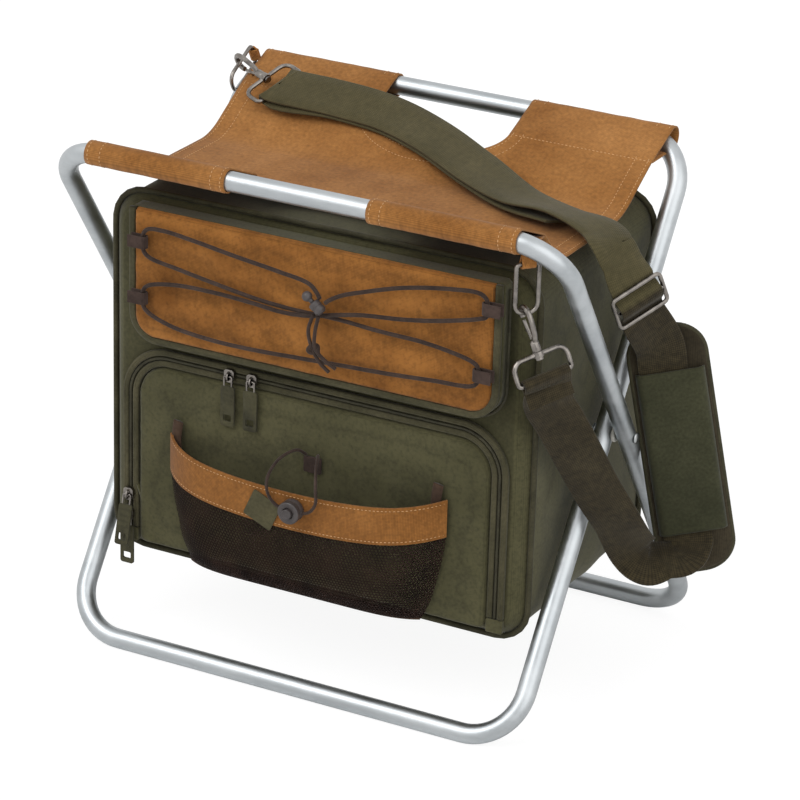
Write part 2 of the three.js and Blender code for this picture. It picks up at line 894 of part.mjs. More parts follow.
function bungee() {
  const [lockAcross, lockHeight] = panelPlace(...lockShares);
  const nearLock = ([across, high, over]) => [
    lockAcross + across * lockRadius,
    lockHeight + high * lockRadius,
    over,
  ];
  const route = [
    ...lacingStartShares.map(nearLock),
    ...lacingShares.map(([across, high, over]) => [...panelPlace(across, high), over]),
    ...lacingEndShares.map(nearLock),
  ];
  const points = route.map(([x, z, over]) =>
    point(x, -(bungeeOut + (crossOut - bungeeOut) * over), z),
  );
  return sweep(smooth(points, 98), round(bungeeRadius, 8));
}

// Each tab is a strip folded round the cord and sewn down at the panel's edge.
const tabPlaces = [
  ["upper_left", -0.8922, 0.784, -1],
  ["lower_left", -0.8922, 0.3658, -1],
  ["upper_right", 0.9461, 0.8449, 1],
  ["lower_right", 0.9102, 0.3571, 1],
].map(([place, across, high, way]) => [place, ...panelPlace(across, high), way]);

function bungeeTab(x, z, way) {
  const inner = bungeeReach + 2 * clearance;
  const fold = Array.from({ length: 7 }, (_, i) => {
    const angle = Math.PI / 2 - (Math.PI * i) / 6;
    return new THREE.Vector2(
      -Math.cos(angle) * (inner + bungeeTabThickness / 2),
      -Math.sin(angle) * (inner + bungeeTabThickness / 2),
    );
  });
  const line = [
    new THREE.Vector2(bungeeTabLength, -inner - bungeeTabThickness / 2),
    ...fold,
    new THREE.Vector2(bungeeTabLength, inner + bungeeTabThickness / 2),
  ];
  const outline = clothOutline(line, bungeeTabThickness);
  const rings = [-bungeeTabHalfHeight, bungeeTabHalfHeight].map((high) =>
    outline.map((p) => point(x + way * p.x, -bungeeOut + p.y, z + high)),
  );
  return skin(rings, false, outline, outline);
}

// Barrel lock with a sprung ball plunger, lying across the bungee.
const lockReach = lockRadius / Math.cos(Math.PI / 10);
const [lockX, lockZ] = panelPlace(...lockShares);
const lockAt = point(lockX, -(crossOut + bungeeRadius + clearance + lockReach), lockZ);
const lockAxis = point(0.78, 0, -0.62).normalize();

function bungeeLock() {
  const levels = [
    [-lockLength / 2, 0.85],
    [-lockLength / 2 + clearance * 3, 1],
    [lockLength / 3, 1],
    [lockLength / 2, 0.7],
  ];
  const bore = lockStem + clearance;
  const profile = [
    [0, lockLength / 5],
    [bore, lockLength / 5],
    [bore, levels[0][0]],
    ...levels.map(([h, share]) => [lockRadius * share, h]),
    [0, levels.at(-1)[0]],
  ];
  return placed(turned(profile, 10), lockAt, lockAxis);
}

function bungeePlunger() {
  const start = lockLength / 5 - lockGap - clearance;
  const centre = -lockLength / 2 - lockGap - lockBallRadius;
  const ball = Array.from({ length: 7 }, (_, i) => {
    const angle = -Math.PI / 2 + (Math.PI * i) / 6;
    return [lockBallRadius * Math.cos(angle), centre + lockBallRadius * Math.sin(angle)];
  });
  ball[0][0] = 0;
  const profile = [
    ...ball.slice(0, -1),
    [lockStem, centre + lockBallRadius * 0.9],
    [lockStem, start],
    [0, start],
  ];
  return placed(turned(profile, 10), lockAt, lockAxis);
}

// Places a turned shape with its axis along a way.
function placed(geometry, at, way) {
  const turn = new THREE.Quaternion().setFromUnitVectors(point(0, 1, 0), way);
  return geometry.applyQuaternion(turn).translate(at.x, at.y, at.z);
}

// The bungee's two ends leave the lock and are knotted below it. Shares of the tail's length:
// across and spread apart, down and spread apart, and back to the panel.
const tailShares = [
  [-0.096, 0.058, 0.404, 0, 0],
  [-0.058, 0.027, 0.673, 0, 0],
  [0.096, 0.058, 0.885, 0.019, 0.038],
  [0.231, 0.058, 1, 0.038, 0.077],
];
const knotShares = [
  [0, -2.71],
  [1.88, -2],
  [2.71, -0.47],
  [2.59, 0.94],
  [1.53, 2.47],
  [0, 2.82],
];

function bungeeTail() {
  const fromLock = (across, down, back) =>
    lockAt.clone().add(point(across, back, -down).multiplyScalar(tailLength));
  const leave = lockReach + clearance + bungeeRadius * 0.735;
  const strands = [-1, 1].map((way) => {
    const first = lockAt.clone().add(point(-0.027 * tailLength, 0, -leave));
    first.addScaledVector(X, way * 1.41 * bungeeRadius);
    const rest = tailShares.map(([across, spread, down, drop, back]) =>
      fromLock(across + way * spread, down - way * drop, back),
    );
    return smooth([first, ...rest], 12);
  });
  const knot = turned(
    knotShares.map(([r, h]) => [r * bungeeRadius, h * bungeeRadius]),
    8,
  );
  return strands
    .map((line) => solidOf(sweep(line, round(bungeeRadius * 0.9, 6))))
    .reduce((whole, strand) => whole.add(strand), solidOf(placed(knot, fromLock(-0.058, 0.692, 0), Z)));
}

// Mesh pocket: a stiff band that bows forward, with a net below it
const netBack = flapFront + 2 * clearance + bandThickness / 2;

// A curve across the flap that leaves its face, bows forward and comes back.
function bowedLine(halfWidth, depth, back, count, height) {
  return Array.from({ length: count + 1 }, (_, i) => {
    const share = Math.sin(Math.PI * (i / count - 0.5));
    return point(halfWidth * share, -(back + depth * (1 - share ** 6)), height(share));
  });
}

const bandHeightAt = (share) => bandMiddleHeight + bandEndRise * share * share;

function netBand() {
  const line = bowedLine(netHalfWidth, netDepth, netBack, 28, bandHeightAt);
  return sweep(line, flat(bandHeight, bandThickness), { side: Z });
}

function netPocket() {
  const levels = [
    [0, 1, 0.97],
    [0.12, 1, 1.04],
    [0.3, 0.98, 1.1],
    [0.5, 0.94, 1.06],
    [0.7, 0.89, 0.86],
    [0.86, 0.83, 0.55],
    [1, netBottomHalfWidth / netHalfWidth, 0.12],
  ];
  const count = 24;
  const layer = (grow) =>
    levels.map(([fall, width, bow]) =>
      bowedLine(
        netHalfWidth * width + grow,
        netDepth * bow + grow,
        netBack,
        count,
        (share) => {
          const top = bandHeightAt(share) - bandHeight / 2 - 7 * clearance;
          return top + (netBottom - top) * fall;
        },
      ),
    );
  const outer = layer(0);
  const inner = layer(-netThickness);
  const rings = outer.map((line, i) => [...line, ...inner[i].toReversed()]);
  const cap = (line) => line.map((p) => new THREE.Vector2(p.x, p.y));
  return skin(rings, false, cap(rings[0]), cap(rings.at(-1)));
}

// Cord loop over the band, with a round toggle and a plain cloth tag.
const toggleOut = netBack + netDepth + bandThickness / 2 + clearance;
const toggleAt = point(toggleShift, -toggleOut, bandMiddleHeight + toggleRise);
const toggleCordOut = -toggleAt.y + toggleDepth * 0.3;
const toggleBore = toggleDepth * 0.48;

// The loop's places as shares of its half width and height, from the toggle, and where it lies:
// on the flap, or a few cord radii out of it, or at the toggle.
const loopShares = [
  [-0.217, 1, "flap", 0],
  [-0.435, 1.139, "flap", 4.6],
  [-0.783, 1.028, "front", -4.6],
  [-1, 0.639, "cord", 0],
  [-0.957, 0.25, "cord", 0],
  [-0.609, 0.028, "cord", 0],
  [0, 0, "cord", 0],
  [0.609, 0.028, "cord", 0],
  [0.913, 0.278, "cord", 0],
  [0.913, 0.639, "cord", 0],
  [0.696, 1, "front", -4.6],
  [0.391, 1.111, "flap", 4.6],
  [0.217, 1, "flap", 0],
];

function netCord() {
  const outs = {
    flap: flapFront + clearance + netCordRadius * 2,
    front: toggleOut - clearance,
    cord: toggleCordOut,
  };
  const points = loopShares.map(([across, high, where, more]) =>
    point(
      toggleAt.x + across * loopHalfWidth,
      -(outs[where] + more * netCordRadius),
      toggleAt.z + high * loopHeight,
    ),
  );
  return sweep(smooth(points, 48), round(netCordRadius, 6));
}

function toggleBody() {
  const rim = clearance * 3;
  const profile = [
    [0, 0],
    [toggleRadius - rim, 0],
    [toggleRadius, rim],
    [toggleRadius, toggleDepth - rim],
    [toggleRadius - rim, toggleDepth],
    [plungerRadius + 1.5 * clearance, toggleDepth],
    [plungerRadius + 1.5 * clearance, toggleBore],
    [0, toggleBore],
  ];
  const body = solidOf(placed(turned(profile, 16), toggleAt, frontWay));
  const hole = new THREE.CylinderGeometry(
    netCordRadius + 4 * clearance,
    netCordRadius + 4 * clearance,
    4 * toggleRadius,
    8,
  );
  hole.rotateZ(Math.PI / 2).translate(toggleAt.x, -toggleCordOut, toggleAt.z);
  return body.subtract(solidOf(hole));
}

function togglePlunger() {
  const start = toggleBore + clearance + plungerStroke;
  const end = toggleDepth + plungerStroke + clearance;
  const profile = [
    [0, start],
    [plungerRadius, start],
    [plungerRadius, end - clearance * 2],
    [plungerRadius - clearance * 2, end],
    [0, end],
  ];
  return placed(turned(profile, 12), toggleAt, frontWay);
}

function cordAnchor() {
  const half = anchorWidth / 2;
  const middle = point(toggleAt.x, 0, toggleAt.z + loopHeight - anchorHeight * 0.62);
  const outline = roundedOutline(
    middle.x - half,
    middle.x + half,
    middle.z - anchorHeight / 2,
    middle.z + anchorHeight / 2,
    netCordRadius,
    netCordRadius,
    2,
  );
  return plate(outline, flapFront + clearance, flapFront + clearance + bandThickness);
}

function clothTag() {
  const tag = plate(
    roundedOutline(-tagWidth / 2, tagWidth / 2, -tagHeight / 2, tagHeight / 2, tagThickness, tagThickness, 2),
    0,
    tagThickness,
  );
  const tilt = 0.42;
  const aside = toggleRadius + tagWidth * 0.72;
  return tag.rotateY(tilt).translate(toggleAt.x - aside, -toggleOut, toggleAt.z - tagHeight * 0.3);
}

// Shoulder strap: webbing that lies across the seat, hangs outside the right legs and turns up again
function heading(degrees) {
  const angle = THREE.MathUtils.degToRad(degrees);
  return point(Math.cos(angle), Math.sin(angle), 0);
}

const strapSide = heading(strapTurn);

const layerGap = strapThickness + 2 * clearance;

// A place beside the right legs, as shares of the strap's width: out of the frame's side, back from
// its middle and below the seat rail.
const beside = ([out, back, drop]) =>
  point(
    outerHalfWidth + out * strapWidth,
    back * strapWidth,
    seatRailHeight - drop * strapWidth,
  );

// Directions of a flat piece: across it, up along it, and out of its face.
function planeOf(sideways, lean) {
  const up = Z.clone().addScaledVector(sideways, -lean).normalize();
  const side = sideways.clone().addScaledVector(up, -sideways.dot(up)).normalize();
  return { side, up, face: side.clone().cross(up).normalize() };
}

const buckleShares = [0.373, -0.578, 1.931];
const buckleAt = beside(buckleShares);
const buckle = planeOf(heading(buckleTurn), buckleTilt);
const weave = buckleWire / Math.cos(Math.PI / 8) + strapThickness / 2 + 2 * clearance;
const barPitch = buckleHeight / 2 - buckleWire;
const atBuckle = (high, off) =>
  buckleAt.clone().addScaledVector(buckle.up, high).addScaledVector(buckle.face, off * weave);

// The pad leans in, and its inner edge clears the rivet's head.
const padSlope = Math.tan(THREE.MathUtils.degToRad(padLean));
const padFootHeight = buckleAt.z - padLength - padDrop;
const padFoot = point(
  outerHalfWidth + padAside,
  padBehind,
  padFootHeight,
).addScaledVector(heading(padTurn), (pivotHeight - padFootHeight) * padSlope);
const pad = planeOf(heading(padTurn), padSlope);
const sleeveStart = (padLength - sleeveLength) / 2;
const atPad = (across, high, off = 0) =>
  padFoot
    .clone()
    .addScaledVector(pad.side, across)
    .addScaledVector(pad.up, high)
    .addScaledVector(pad.face, off);

// Between the front eye and the turn at the pad's foot: how far down, then aside and back as
// shares of the strap's width, and the heading of the webbing's width in degrees.
const hangShares = [
  [0.15, -0.222, -0.027, 44],
  [0.247, -0.216, 0.009, 38],
  [0.434, -0.147, -0.046, 33],
  [0.625, -0.086, -0.094, 30],
  [0.803, 0.016, -0.109, 28],
];
// Over the seat's edge: places beside the legs, and the heading.
const edgeShares = [
  [-0.052, -0.586, 1.202, 62],
  [-0.276, -0.6, 0.88, 64],
  [-0.622, -0.329, 0.73, strapTurn],
];
// On the seat: across as a share of the canvas, forward of its back seam as a share of its slope and
// down as a share of the bag's drop, then how far the webbing leans back, and its rise over the canvas.
const seatShares = [
  [0.8491, 1.9085, 0.7188, -0.2, 0.125],
  [0.5875, 1.5269, 0.7188, 0.02, 0.0521],
  [0.3086, 0.9793, 0.5417, 0.3, 0],
  [0.0249, 0.4696, 0.3334, 0.36, 0],
  [-0.2359, 0.1811, 0.1771, 0.42, 0],
  [-0.4836, 0.1894, 0.0625, 0.45, 0],
];
const onCanvas = ([across, forward, drop]) =>
  point(
    across * canvasHalfWidth,
    sleeveSeamOut - forward * backSlopeRun,
    seatRailHeight - drop * bagDrop,
  );

// The webbing's end, sewn to itself behind the eye's bar that it wraps.
const foldReach = eyeWire / Math.cos(Math.PI / 8) + strapThickness / 2 + 2 * clearance;

function foldRound(bar, away, inward) {
  const at = (far, deep) => bar.clone().addScaledVector(away, far).addScaledVector(inward, deep);
  const turns = Array.from({ length: 7 }, (_, i) => {
    const angle = Math.PI * (0.4 + (1.2 * i) / 6);
    return at(foldReach * Math.cos(angle), foldReach * Math.sin(angle));
  });
  return [at(2.5 * foldReach, 0.85 * foldReach), ...turns];
}

// The webbing lies against one side of the pad's sleeve.
const webbingAside = sleeveWidth / 2 - strapWidth / 2 - 8 * clearance;

// The turn below the sleeve: places across the pad, up from the sleeve's end and out of the pad as
// shares of the webbing's width, then the way that its outer edge points. At the lowest place it
// lies flat.
const turnShares = [
  [-1.225, 0.0375, 0.675, -1, -0.05, 0.3],
  [-1.025, -0.2125, 0.6, -0.8, -0.2, 0.6],
  [-0.7, -0.3125, 0.475, -0.2, -0.35, 0.9],
  [-0.325, -0.3275, 0.415, 0.7, -0.25, 0.5],
  [-0.15, -0.1975, 0.115, 1, 0, 0.12],
];
const turnPoints = turnShares.map(([across, high, off, sideways, up, outward]) => {
  const edge = pad.side
    .clone()
    .multiplyScalar(sideways)
    .addScaledVector(pad.up, up)
    .addScaledVector(pad.face, outward);
  const along = sleeveStart + strapWidth * high;
  return [atPad(strapWidth * across, along, strapWidth * off), edge.normalize()];
});

const inSleeveShares = [-0.011, 0.043, 0.149, 0.424, 0.729, 0.957, 1.034];

function shoulderStrap(frontChain, backChain) {
  // In front of the turn the webbing's other edge leads.
  const frontSide = frontChain.across.clone().negate();
  const leaning = (lean) => strapSide.clone().addScaledVector(Z, lean).normalize();
  const onSeat = seatShares.map((share) => [onCanvas(share), leaning(share[3])]);
  const overSeat = onSeat.map(([p, side], i) => [
    p.clone().addScaledVector(Z, seatShares[i][4] * bagDrop),
    side,
  ]);
  const front = foldRound(frontChain.eye, frontChain.down, frontChain.inward);
  const back = foldRound(backChain.eye, backChain.down, backChain.inward).toReversed();
  const stub = frontChain.eye
    .clone()
    .addScaledVector(frontChain.down, strapWidth / 2)
    .addScaledVector(frontChain.inward, layerGap);
  // The webbing returns below itself from the back eye to the seat's edge.
  const below = onSeat
    .toReversed()
    .map(([p, side]) => [p.clone().addScaledVector(Z, -1.15 * layerGap), side]);
  // Up the pad: where the webbing has left the sleeve, and where it comes to the slider.
  const leaving = sleeveStart + inSleeveShares.at(-1) * sleeveLength;
  const entering = buckleAt.clone().sub(padFoot).dot(pad.up) - barPitch - 1.6 * weaveRun;
  const stops = [
    [stub, frontSide],
    ...front.map((p) => [p, frontSide]),
    ...hangShares.map(([down, aside, behind, turn]) => [
      frontChain.eye
        .clone()
        .lerp(turnPoints[0][0], down)
        .add(point(aside, behind, 0).multiplyScalar(strapWidth)),
      heading(turn).negate(),
    ]),
    ...turnPoints,
    ...inSleeveShares.map((share) => [
      atPad(-webbingAside, sleeveStart + share * sleeveLength),
      pad.side,
    ]),
    [
      atPad(-webbingAside, THREE.MathUtils.lerp(leaving, entering, 0.38), 0.12 * strapWidth),
      pad.side.clone().lerp(buckle.side, 0.35),
    ],
    ...[
      [-barPitch - 1.6 * weaveRun, -1],
      [-barPitch + weaveRun, -1],
      [-weaveRun, 1],
      [weaveRun, 1],
      [barPitch - weaveRun, -1],
      [barPitch + 1.6 * weaveRun, -1],
    ].map(([high, off]) => [atBuckle(high, off), buckle.side]),
    ...edgeShares.map((share) => [beside(share), heading(share[3])]),
    ...overSeat,
    ...back.map((p) => [p, backChain.across]),
    ...below,
  ];
  const line = new THREE.CatmullRomCurve3(stops.map(([p]) => p));
  const sides = new THREE.CatmullRomCurve3(stops.map(([, side]) => side));
  const count = 4 * (stops.length - 1);
  const points = Array.from({ length: count + 1 }, (_, i) => line.getPoint(i / count));
  const across = Array.from({ length: count + 1 }, (_, i) => sides.getPoint(i / count));
  return sweep(points, flat(strapWidth, strapThickness), { side: across });
}

// A flat shape built across, along and through, then set in the strap's plane.
function setInPlane(mesh, at, { side, up, face }) {
  mesh.applyMatrix4(new THREE.Matrix4().makeBasis(side, face.clone().negate(), up).setPosition(at));
  return mesh;
}

function shoulderPad() {
  const half = padWidth / 2;
  const outline = roundedOutline(-half, half, 0, padLength, padEndRadius, padEndRadius, bendSteps);
  const back = -4 * clearance - strapThickness / 2 - padThickness;
  const inset = padThickness / 3;
  const smaller = roundedOutline(
    -half + inset,
    half - inset,
    inset,
    padLength - inset,
    padEndRadius - inset,
    padEndRadius - inset,
    bendSteps,
  );
  return loft([
    { out: back, outline: smaller },
    { out: back + inset, outline },
    { out: back + 2 * inset, outline },
    { out: back + 3 * inset, outline: smaller },
  ]);
}

// The sleeve panel that holds the strap against the pad is open at both ends.
function padSleeve() {
  const half = sleeveWidth / 2;
  const low = -strapThickness / 2;
  const high = strapThickness / 2 + 2 * clearance + sleeveThickness;
  const line = [
    new THREE.Vector2(-half, low),
    new THREE.Vector2(-half + clearance * 4, high - sleeveThickness / 2),
    new THREE.Vector2(half - clearance * 4, high - sleeveThickness / 2),
    new THREE.Vector2(half, low),
  ];
  const outline = clothOutline(line, sleeveThickness);
  const rings = [sleeveStart, sleeveStart + sleeveLength].map((end) =>
    outline.map((p) => point(p.x, -p.y, end)),
  );
  return skin(rings, false, outline, outline);
}

// Wire slider with a middle bar.
function strapSlider() {
  const half = strapWidth / 2 + buckleSlack + buckleWire;
  const tall = buckleHeight / 2 - buckleWire;
  const loop = roundedOutline(-half, half, -tall, tall, 2 * buckleWire, 2 * buckleWire, 3);
  const wire = sweep(
    loop.map((p) => point(p.x, 0, p.y)),
    round(buckleWire, 8),
    { side: frontWay, closed: true },
  );
  const bar = sweep([point(-half, 0, 0), point(half, 0, 0)], round(buckleWire * 0.9, 8), { side: frontWay });
  return solidOf(wire).add(solidOf(bar));
}

// Ring and snap hook, built hanging down local Z from the bow's centre
const ringBar = hookBow - hookWire - ringWire - 4 * clearance;

function hookRing() {
  const half = ringWidth / 2;
  const loop = roundedOutline(-half, half, ringBar, ringBar + ringLength, half * 0.8, 2 * ringWire, 4);
  return sweep(
    loop.map((p) => point(0, p.x, p.y)),
    round(ringWire, 8),
    { side: X, closed: true },
  );
}

const barrelTop = -hookSpine;
const barrelFoot = barrelTop - barrelLength;
const bossTop = barrelFoot - clearance;
const bossFoot = bossTop - eyeBossHeight;
const stemFoot = bossFoot - clearance - eyeWire;

// The bow is a bent wire that springs from the barrel; the barrel's stem turns in the eye's boss.
function snapHook() {
  const bow = [
    point(0, 0, barrelTop - hookWire),
    point(hookBow * 0.55, 0, barrelTop + hookWire),
    point(hookBow * 0.95, 0, -hookBow),
    ...Array.from({ length: 9 }, (_, i) => {
      const angle = (Math.PI * i * 1.08) / 8;
      return point(hookBow * Math.cos(angle), 0, hookBow * Math.sin(angle));
    }),
  ];
  const wire = solidOf(sweep(smooth(bow, 26), round(hookWire, 8), { side: point(0, 1, 0) }));
  const profile = [
    [0, stemFoot],
    [swivelRadius * 1.9, stemFoot],
    [swivelRadius * 1.9, stemFoot + eyeWire],
    [swivelRadius, stemFoot + eyeWire],
    [swivelRadius, barrelFoot],
    [barrelRadius, barrelFoot],
    [barrelRadius, barrelTop - hookWire],
    [barrelRadius * 0.7, barrelTop],
    [0, barrelTop],
  ];
  return wire.add(solidOf(placed(turned(profile, 10), point(0, 0, 0), Z)));
}

const gateFoot = point(-barrelRadius * 0.85, 0, barrelTop + gateRadius * 0.2 + clearance);
const gateTip = point(-hookBow * 0.97, 0, -hookWire - gateRadius - 2 * clearance);

function hookGate() {
  const thumb = gateFoot.clone().lerp(gateTip, 0.45);
  const bar = sweep([gateFoot, gateTip], round(gateRadius, 8));
  const nub = sweep(
    [thumb, thumb.clone().addScaledVector(X, -2.6 * gateRadius)],
    round(gateRadius * 0.8, 6),
  );
  return solidOf(bar).add(solidOf(nub));
}

// D-shaped eye for the webbing, with the boss that the hook's stem turns in.
const eyeBarDrop = bossFoot - eyeHeight;

function strapEye() {
  const half = strapWidth / 2 + buckleSlack + eyeWire;
  const head = bossFoot + eyeBossHeight / 2;
  const loop = roundedOutline(-half, half, eyeBarDrop, head, 1.6 * eyeWire, half * 0.35, 4);
  const wire = solidOf(
    sweep(
      loop.map((p) => point(0, p.x, p.y)),
      round(eyeWire, 8),
      { side: X, closed: true },
    ),
  );
  const boss = [
    [0, bossFoot],
    [eyeBossRadius, bossFoot],
    [eyeBossRadius, bossTop],
    [0, bossTop],
  ];
  const bore = [
    [0, bossFoot - overrun],
    [swivelRadius + clearance, bossFoot - overrun],
    [swivelRadius + clearance, bossTop + overrun],
    [0, bossTop + overrun],
  ];
  const clearing = [
    [0, stemFoot - clearance],
    [swivelRadius * 1.9 + clearance, stemFoot - clearance],
    [swivelRadius * 1.9 + clearance, bossFoot],
    [0, bossFoot],
  ];
  const upright = (profile) => solidOf(placed(turned(profile, 10), point(0, 0, 0), Z));
  return wire.add(upright(boss)).subtract(upright(bore)).subtract(upright(clearing));
}

// A canvas tab folded round the bar at the ring's upper end.
const tabReach = ringWire / Math.cos(Math.PI / 8) + 2 * clearance + cornerTabThickness / 2;

function cornerTab(length) {
  const fold = Array.from({ length: 7 }, (_, i) => {
    const angle = Math.PI + (Math.PI * i) / 6;
    return new THREE.Vector2(tabReach * Math.cos(angle), tabReach * Math.sin(angle));
  });
  const near = (cornerTabThickness + clearance) / 2;
  const narrow = Math.min(2 * tabReach, 0.75 * length);
  const line = [
    new THREE.Vector2(-near, length),
    new THREE.Vector2(-near, narrow),
    ...fold,
    new THREE.Vector2(near, narrow),
    new THREE.Vector2(near, length),
  ];
  const outline = clothOutline(line, cornerTabThickness);
  const half = cornerTabWidth / 2;
  const rings = [-half, half].map((y) => outline.map((p) => point(p.x, y, p.y)));
  return skin(rings, false, outline, outline);
}

// Sets a piece's own Y across and its own Z up, with its own origin at a place.
function posed(object, at, across, up) {
  const basis = new THREE.Matrix4().makeBasis(across.clone().cross(up), across, up);
  object.applyMatrix4(basis.setPosition(at));
  return object;
}

// Where a chain of hook and eye hangs from its bow, which way, and where its eye's bar comes.
function chainFrame(bow, way, sideways, lean) {
  const down = way.clone().normalize();
  const across = sideways.clone().addScaledVector(Z, lean);
  across.addScaledVector(down, -across.dot(down)).normalize();
  const eye = bow.clone().addScaledVector(down, -eyeBarDrop);
  return { bow, down, across, inward: across.clone().cross(down), eye };
}

function hookParts(corner, { bow, down, across }) {
  const parts = [
    named("snap_hook_" + corner, snapHook(), nickel),
    named("hook_gate_" + corner, hookGate(), nickel),
    named("strap_eye_" + corner, strapEye(), nickel),
  ];
  return parts.map((part) => posed(part, bow, across, down.clone().negate()));
}

// Assembly
const outerTube = bentFrame(outerHalfWidth, -1);
const innerTube = bentFrame(innerHalfWidth, 1);
const sleeveClear = [
  tubeAlong(frameLoop(outerHalfWidth, -1), tubeRadius + clearance, tubeSides),
  tubeAlong(frameLoop(innerHalfWidth, 1), tubeRadius + clearance, tubeSides),
];

const frames = new THREE.Group();
frames.add(
  named("outer_frame", outerTube, aluminium),
  named("inner_frame", innerTube, aluminium),
  named("pivot_rivet_left", pivotRivet(-1), aluminium),
  named("pivot_rivet_right", pivotRivet(1), aluminium),
  named("leg_washer_left", legWasher(-1), nylon),
  named("leg_washer_right", legWasher(1), nylon),
  named("seat_canvas", seatCanvas(sleeveClear), tanCanvas),
);

const bag = new THREE.Group();
bag.add(
  named("bag_shell", bagShell(), oliveCloth),
  named("bag_liner", bagLiner(), foil),
  named("front_piping", bagPiping(bagFrontOut - pipingRadius * 0.7), oliveTrim),
  named("back_piping", bagPiping(-bagBackOut + edgeRound), oliveTrim),
  named("zip_outer_welt", zipWelt(outerWelt), oliveTrim),
  named("zip_end_left", zipEndTab(-1), oliveCloth),
  named("zip_end_right", zipEndTab(1), oliveCloth),
  named("pocket_gusset", pocketGusset(), oliveCloth),
  named("pocket_zip", pocketZip(), oliveTrim),
);

const lowerFlapGroup = new THREE.Group();
lowerFlapGroup.add(
  named("lower_flap", lowerFlap(), oliveCloth),
  named("zip_inner_welt", zipWelt(innerWelt), oliveTrim),
  named("zip_coil", zipCoil(), oliveTrim),
  named("net_band", netBand(), tanCanvas),
  named("net_pocket", netPocket(), netCloth),
  named("cord_anchor", cordAnchor(), cordCloth),
  named("net_cord", netCord(), cordCloth),
  named("cord_toggle", toggleBody(), darkPlastic),
  named("toggle_plunger", togglePlunger(), darkPlastic),
  named("cloth_tag", clothTag(), oliveTrim),
);
zipHardware(lowerFlapGroup);

const upperFlapGroup = new THREE.Group();
upperFlapGroup.add(
  named("pocket_binding", pocketBinding(), oliveTrim),
  named("pocket_panel", pocketPanel(), tanPanel),
  named("bungee_cord", bungee(), cordCloth),
  named("bungee_lock", bungeeLock(), darkPlastic),
  named("bungee_plunger", bungeePlunger(), darkPlastic),
  named("bungee_tail", bungeeTail(), cordCloth),
  ...tabPlaces.map(([place, x, z, way]) =>
    named("bungee_tab_" + place, bungeeTab(x, z, way), cordCloth),
  ),
);

// The front ring hangs from a tab below the right end of the front sleeve.
const frontTabLength = 3 * tabReach;
const sleeveReach = tubeReach + clearance + canvasThickness;
const frontRingTop = seatRailHeight - sleeveReach - clearance - frontTabLength;
const frontBow = point(
  canvasHalfWidth + 1.5 * hookWire,
  tubeRadius - seatRailOut,
  frontRingTop - ringLength - ringBar,
);
const frontChain = chainFrame(frontBow, point(0.38, 0, -0.93), heading(hookTurn), 0);
const frontRing = named("d_ring_front", hookRing(), nickel);
const frontTab = named("strap_tab_front", cornerTab(frontTabLength), tanCanvas);
posed(frontRing, frontBow, heading(hookTurn), Z);
posed(frontTab, frontBow.clone().setZ(frontRingTop), heading(hookTurn), Z);

// The back ring stands beside the left end of the back sleeve, and the hook lies over the seat.
const backBow = point(
  -canvasHalfWidth - 2 * hookWire,
  sleeveSeamOut + overrun,
  seatRailHeight + hookBow,
);
const backChain = chainFrame(backBow, point(0.92, -0.34, -0.18), strapSide, 0.45);
const ringUp = point(0, 0.88, 0.47).normalize();
const ringAcross = ringUp.clone().cross(X);
const ringSide = backBow.clone().addScaledVector(backChain.down, -ringBar);
const ringCentre = ringSide.addScaledVector(ringAcross, ringWidth / 2);
const ringFoot = ringCentre.clone().addScaledVector(ringUp, -ringBar - ringLength / 2);
const ringTop = ringCentre.clone().addScaledVector(ringUp, ringLength / 2);
const backRing = named("d_ring_back", hookRing(), nickel);
const backTabLength = -canvasHalfWidth - clearance - ringTop.x;
const backTab = named("strap_tab_back", cornerTab(backTabLength), tanCanvas);
posed(backRing, ringFoot, ringAcross, ringUp);
posed(backTab, ringTop, ringAcross, X);

const strap = new THREE.Group();
strap.add(
  named("shoulder_strap", shoulderStrap(frontChain, backChain), webbing),
  setInPlane(named("shoulder_pad", shoulderPad(), webbing), padFoot, pad),
  setInPlane(named("pad_sleeve", padSleeve(), oliveCloth), padFoot, pad),
  setInPlane(named("strap_slider", strapSlider(), nickel), buckleAt, buckle),
);

const chains = new THREE.Group();
chains.add(
  frontTab,
  frontRing,
  ...hookParts("front", frontChain),
  backTab,
  backRing,
  ...hookParts("back", backChain),
);

const stool = new THREE.Group();
stool.name = "folding_cooler_stool";
stool.add(frames, bag, lowerFlapGroup, upperFlapGroup, strap, chains);

export default stool;
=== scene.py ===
import json
import math

import bmesh
import bpy
from mathutils import Matrix, Vector, noise


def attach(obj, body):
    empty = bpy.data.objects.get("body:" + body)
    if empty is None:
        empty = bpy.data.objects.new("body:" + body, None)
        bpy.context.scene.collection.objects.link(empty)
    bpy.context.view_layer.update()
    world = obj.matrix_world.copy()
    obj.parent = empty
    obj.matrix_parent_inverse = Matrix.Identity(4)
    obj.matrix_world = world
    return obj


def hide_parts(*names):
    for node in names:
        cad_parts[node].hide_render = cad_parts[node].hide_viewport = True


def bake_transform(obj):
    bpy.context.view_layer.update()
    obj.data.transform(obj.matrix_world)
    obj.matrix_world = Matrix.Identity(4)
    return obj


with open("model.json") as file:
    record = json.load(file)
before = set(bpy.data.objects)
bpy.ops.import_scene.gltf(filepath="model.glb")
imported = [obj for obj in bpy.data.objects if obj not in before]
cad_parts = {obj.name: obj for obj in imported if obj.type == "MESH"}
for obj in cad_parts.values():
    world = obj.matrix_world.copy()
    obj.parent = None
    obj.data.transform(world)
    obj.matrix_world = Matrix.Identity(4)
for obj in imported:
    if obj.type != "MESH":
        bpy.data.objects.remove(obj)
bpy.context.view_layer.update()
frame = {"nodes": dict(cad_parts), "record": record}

MM = 0.001
scene = bpy.context.scene
scene.view_settings.view_transform = "Standard"

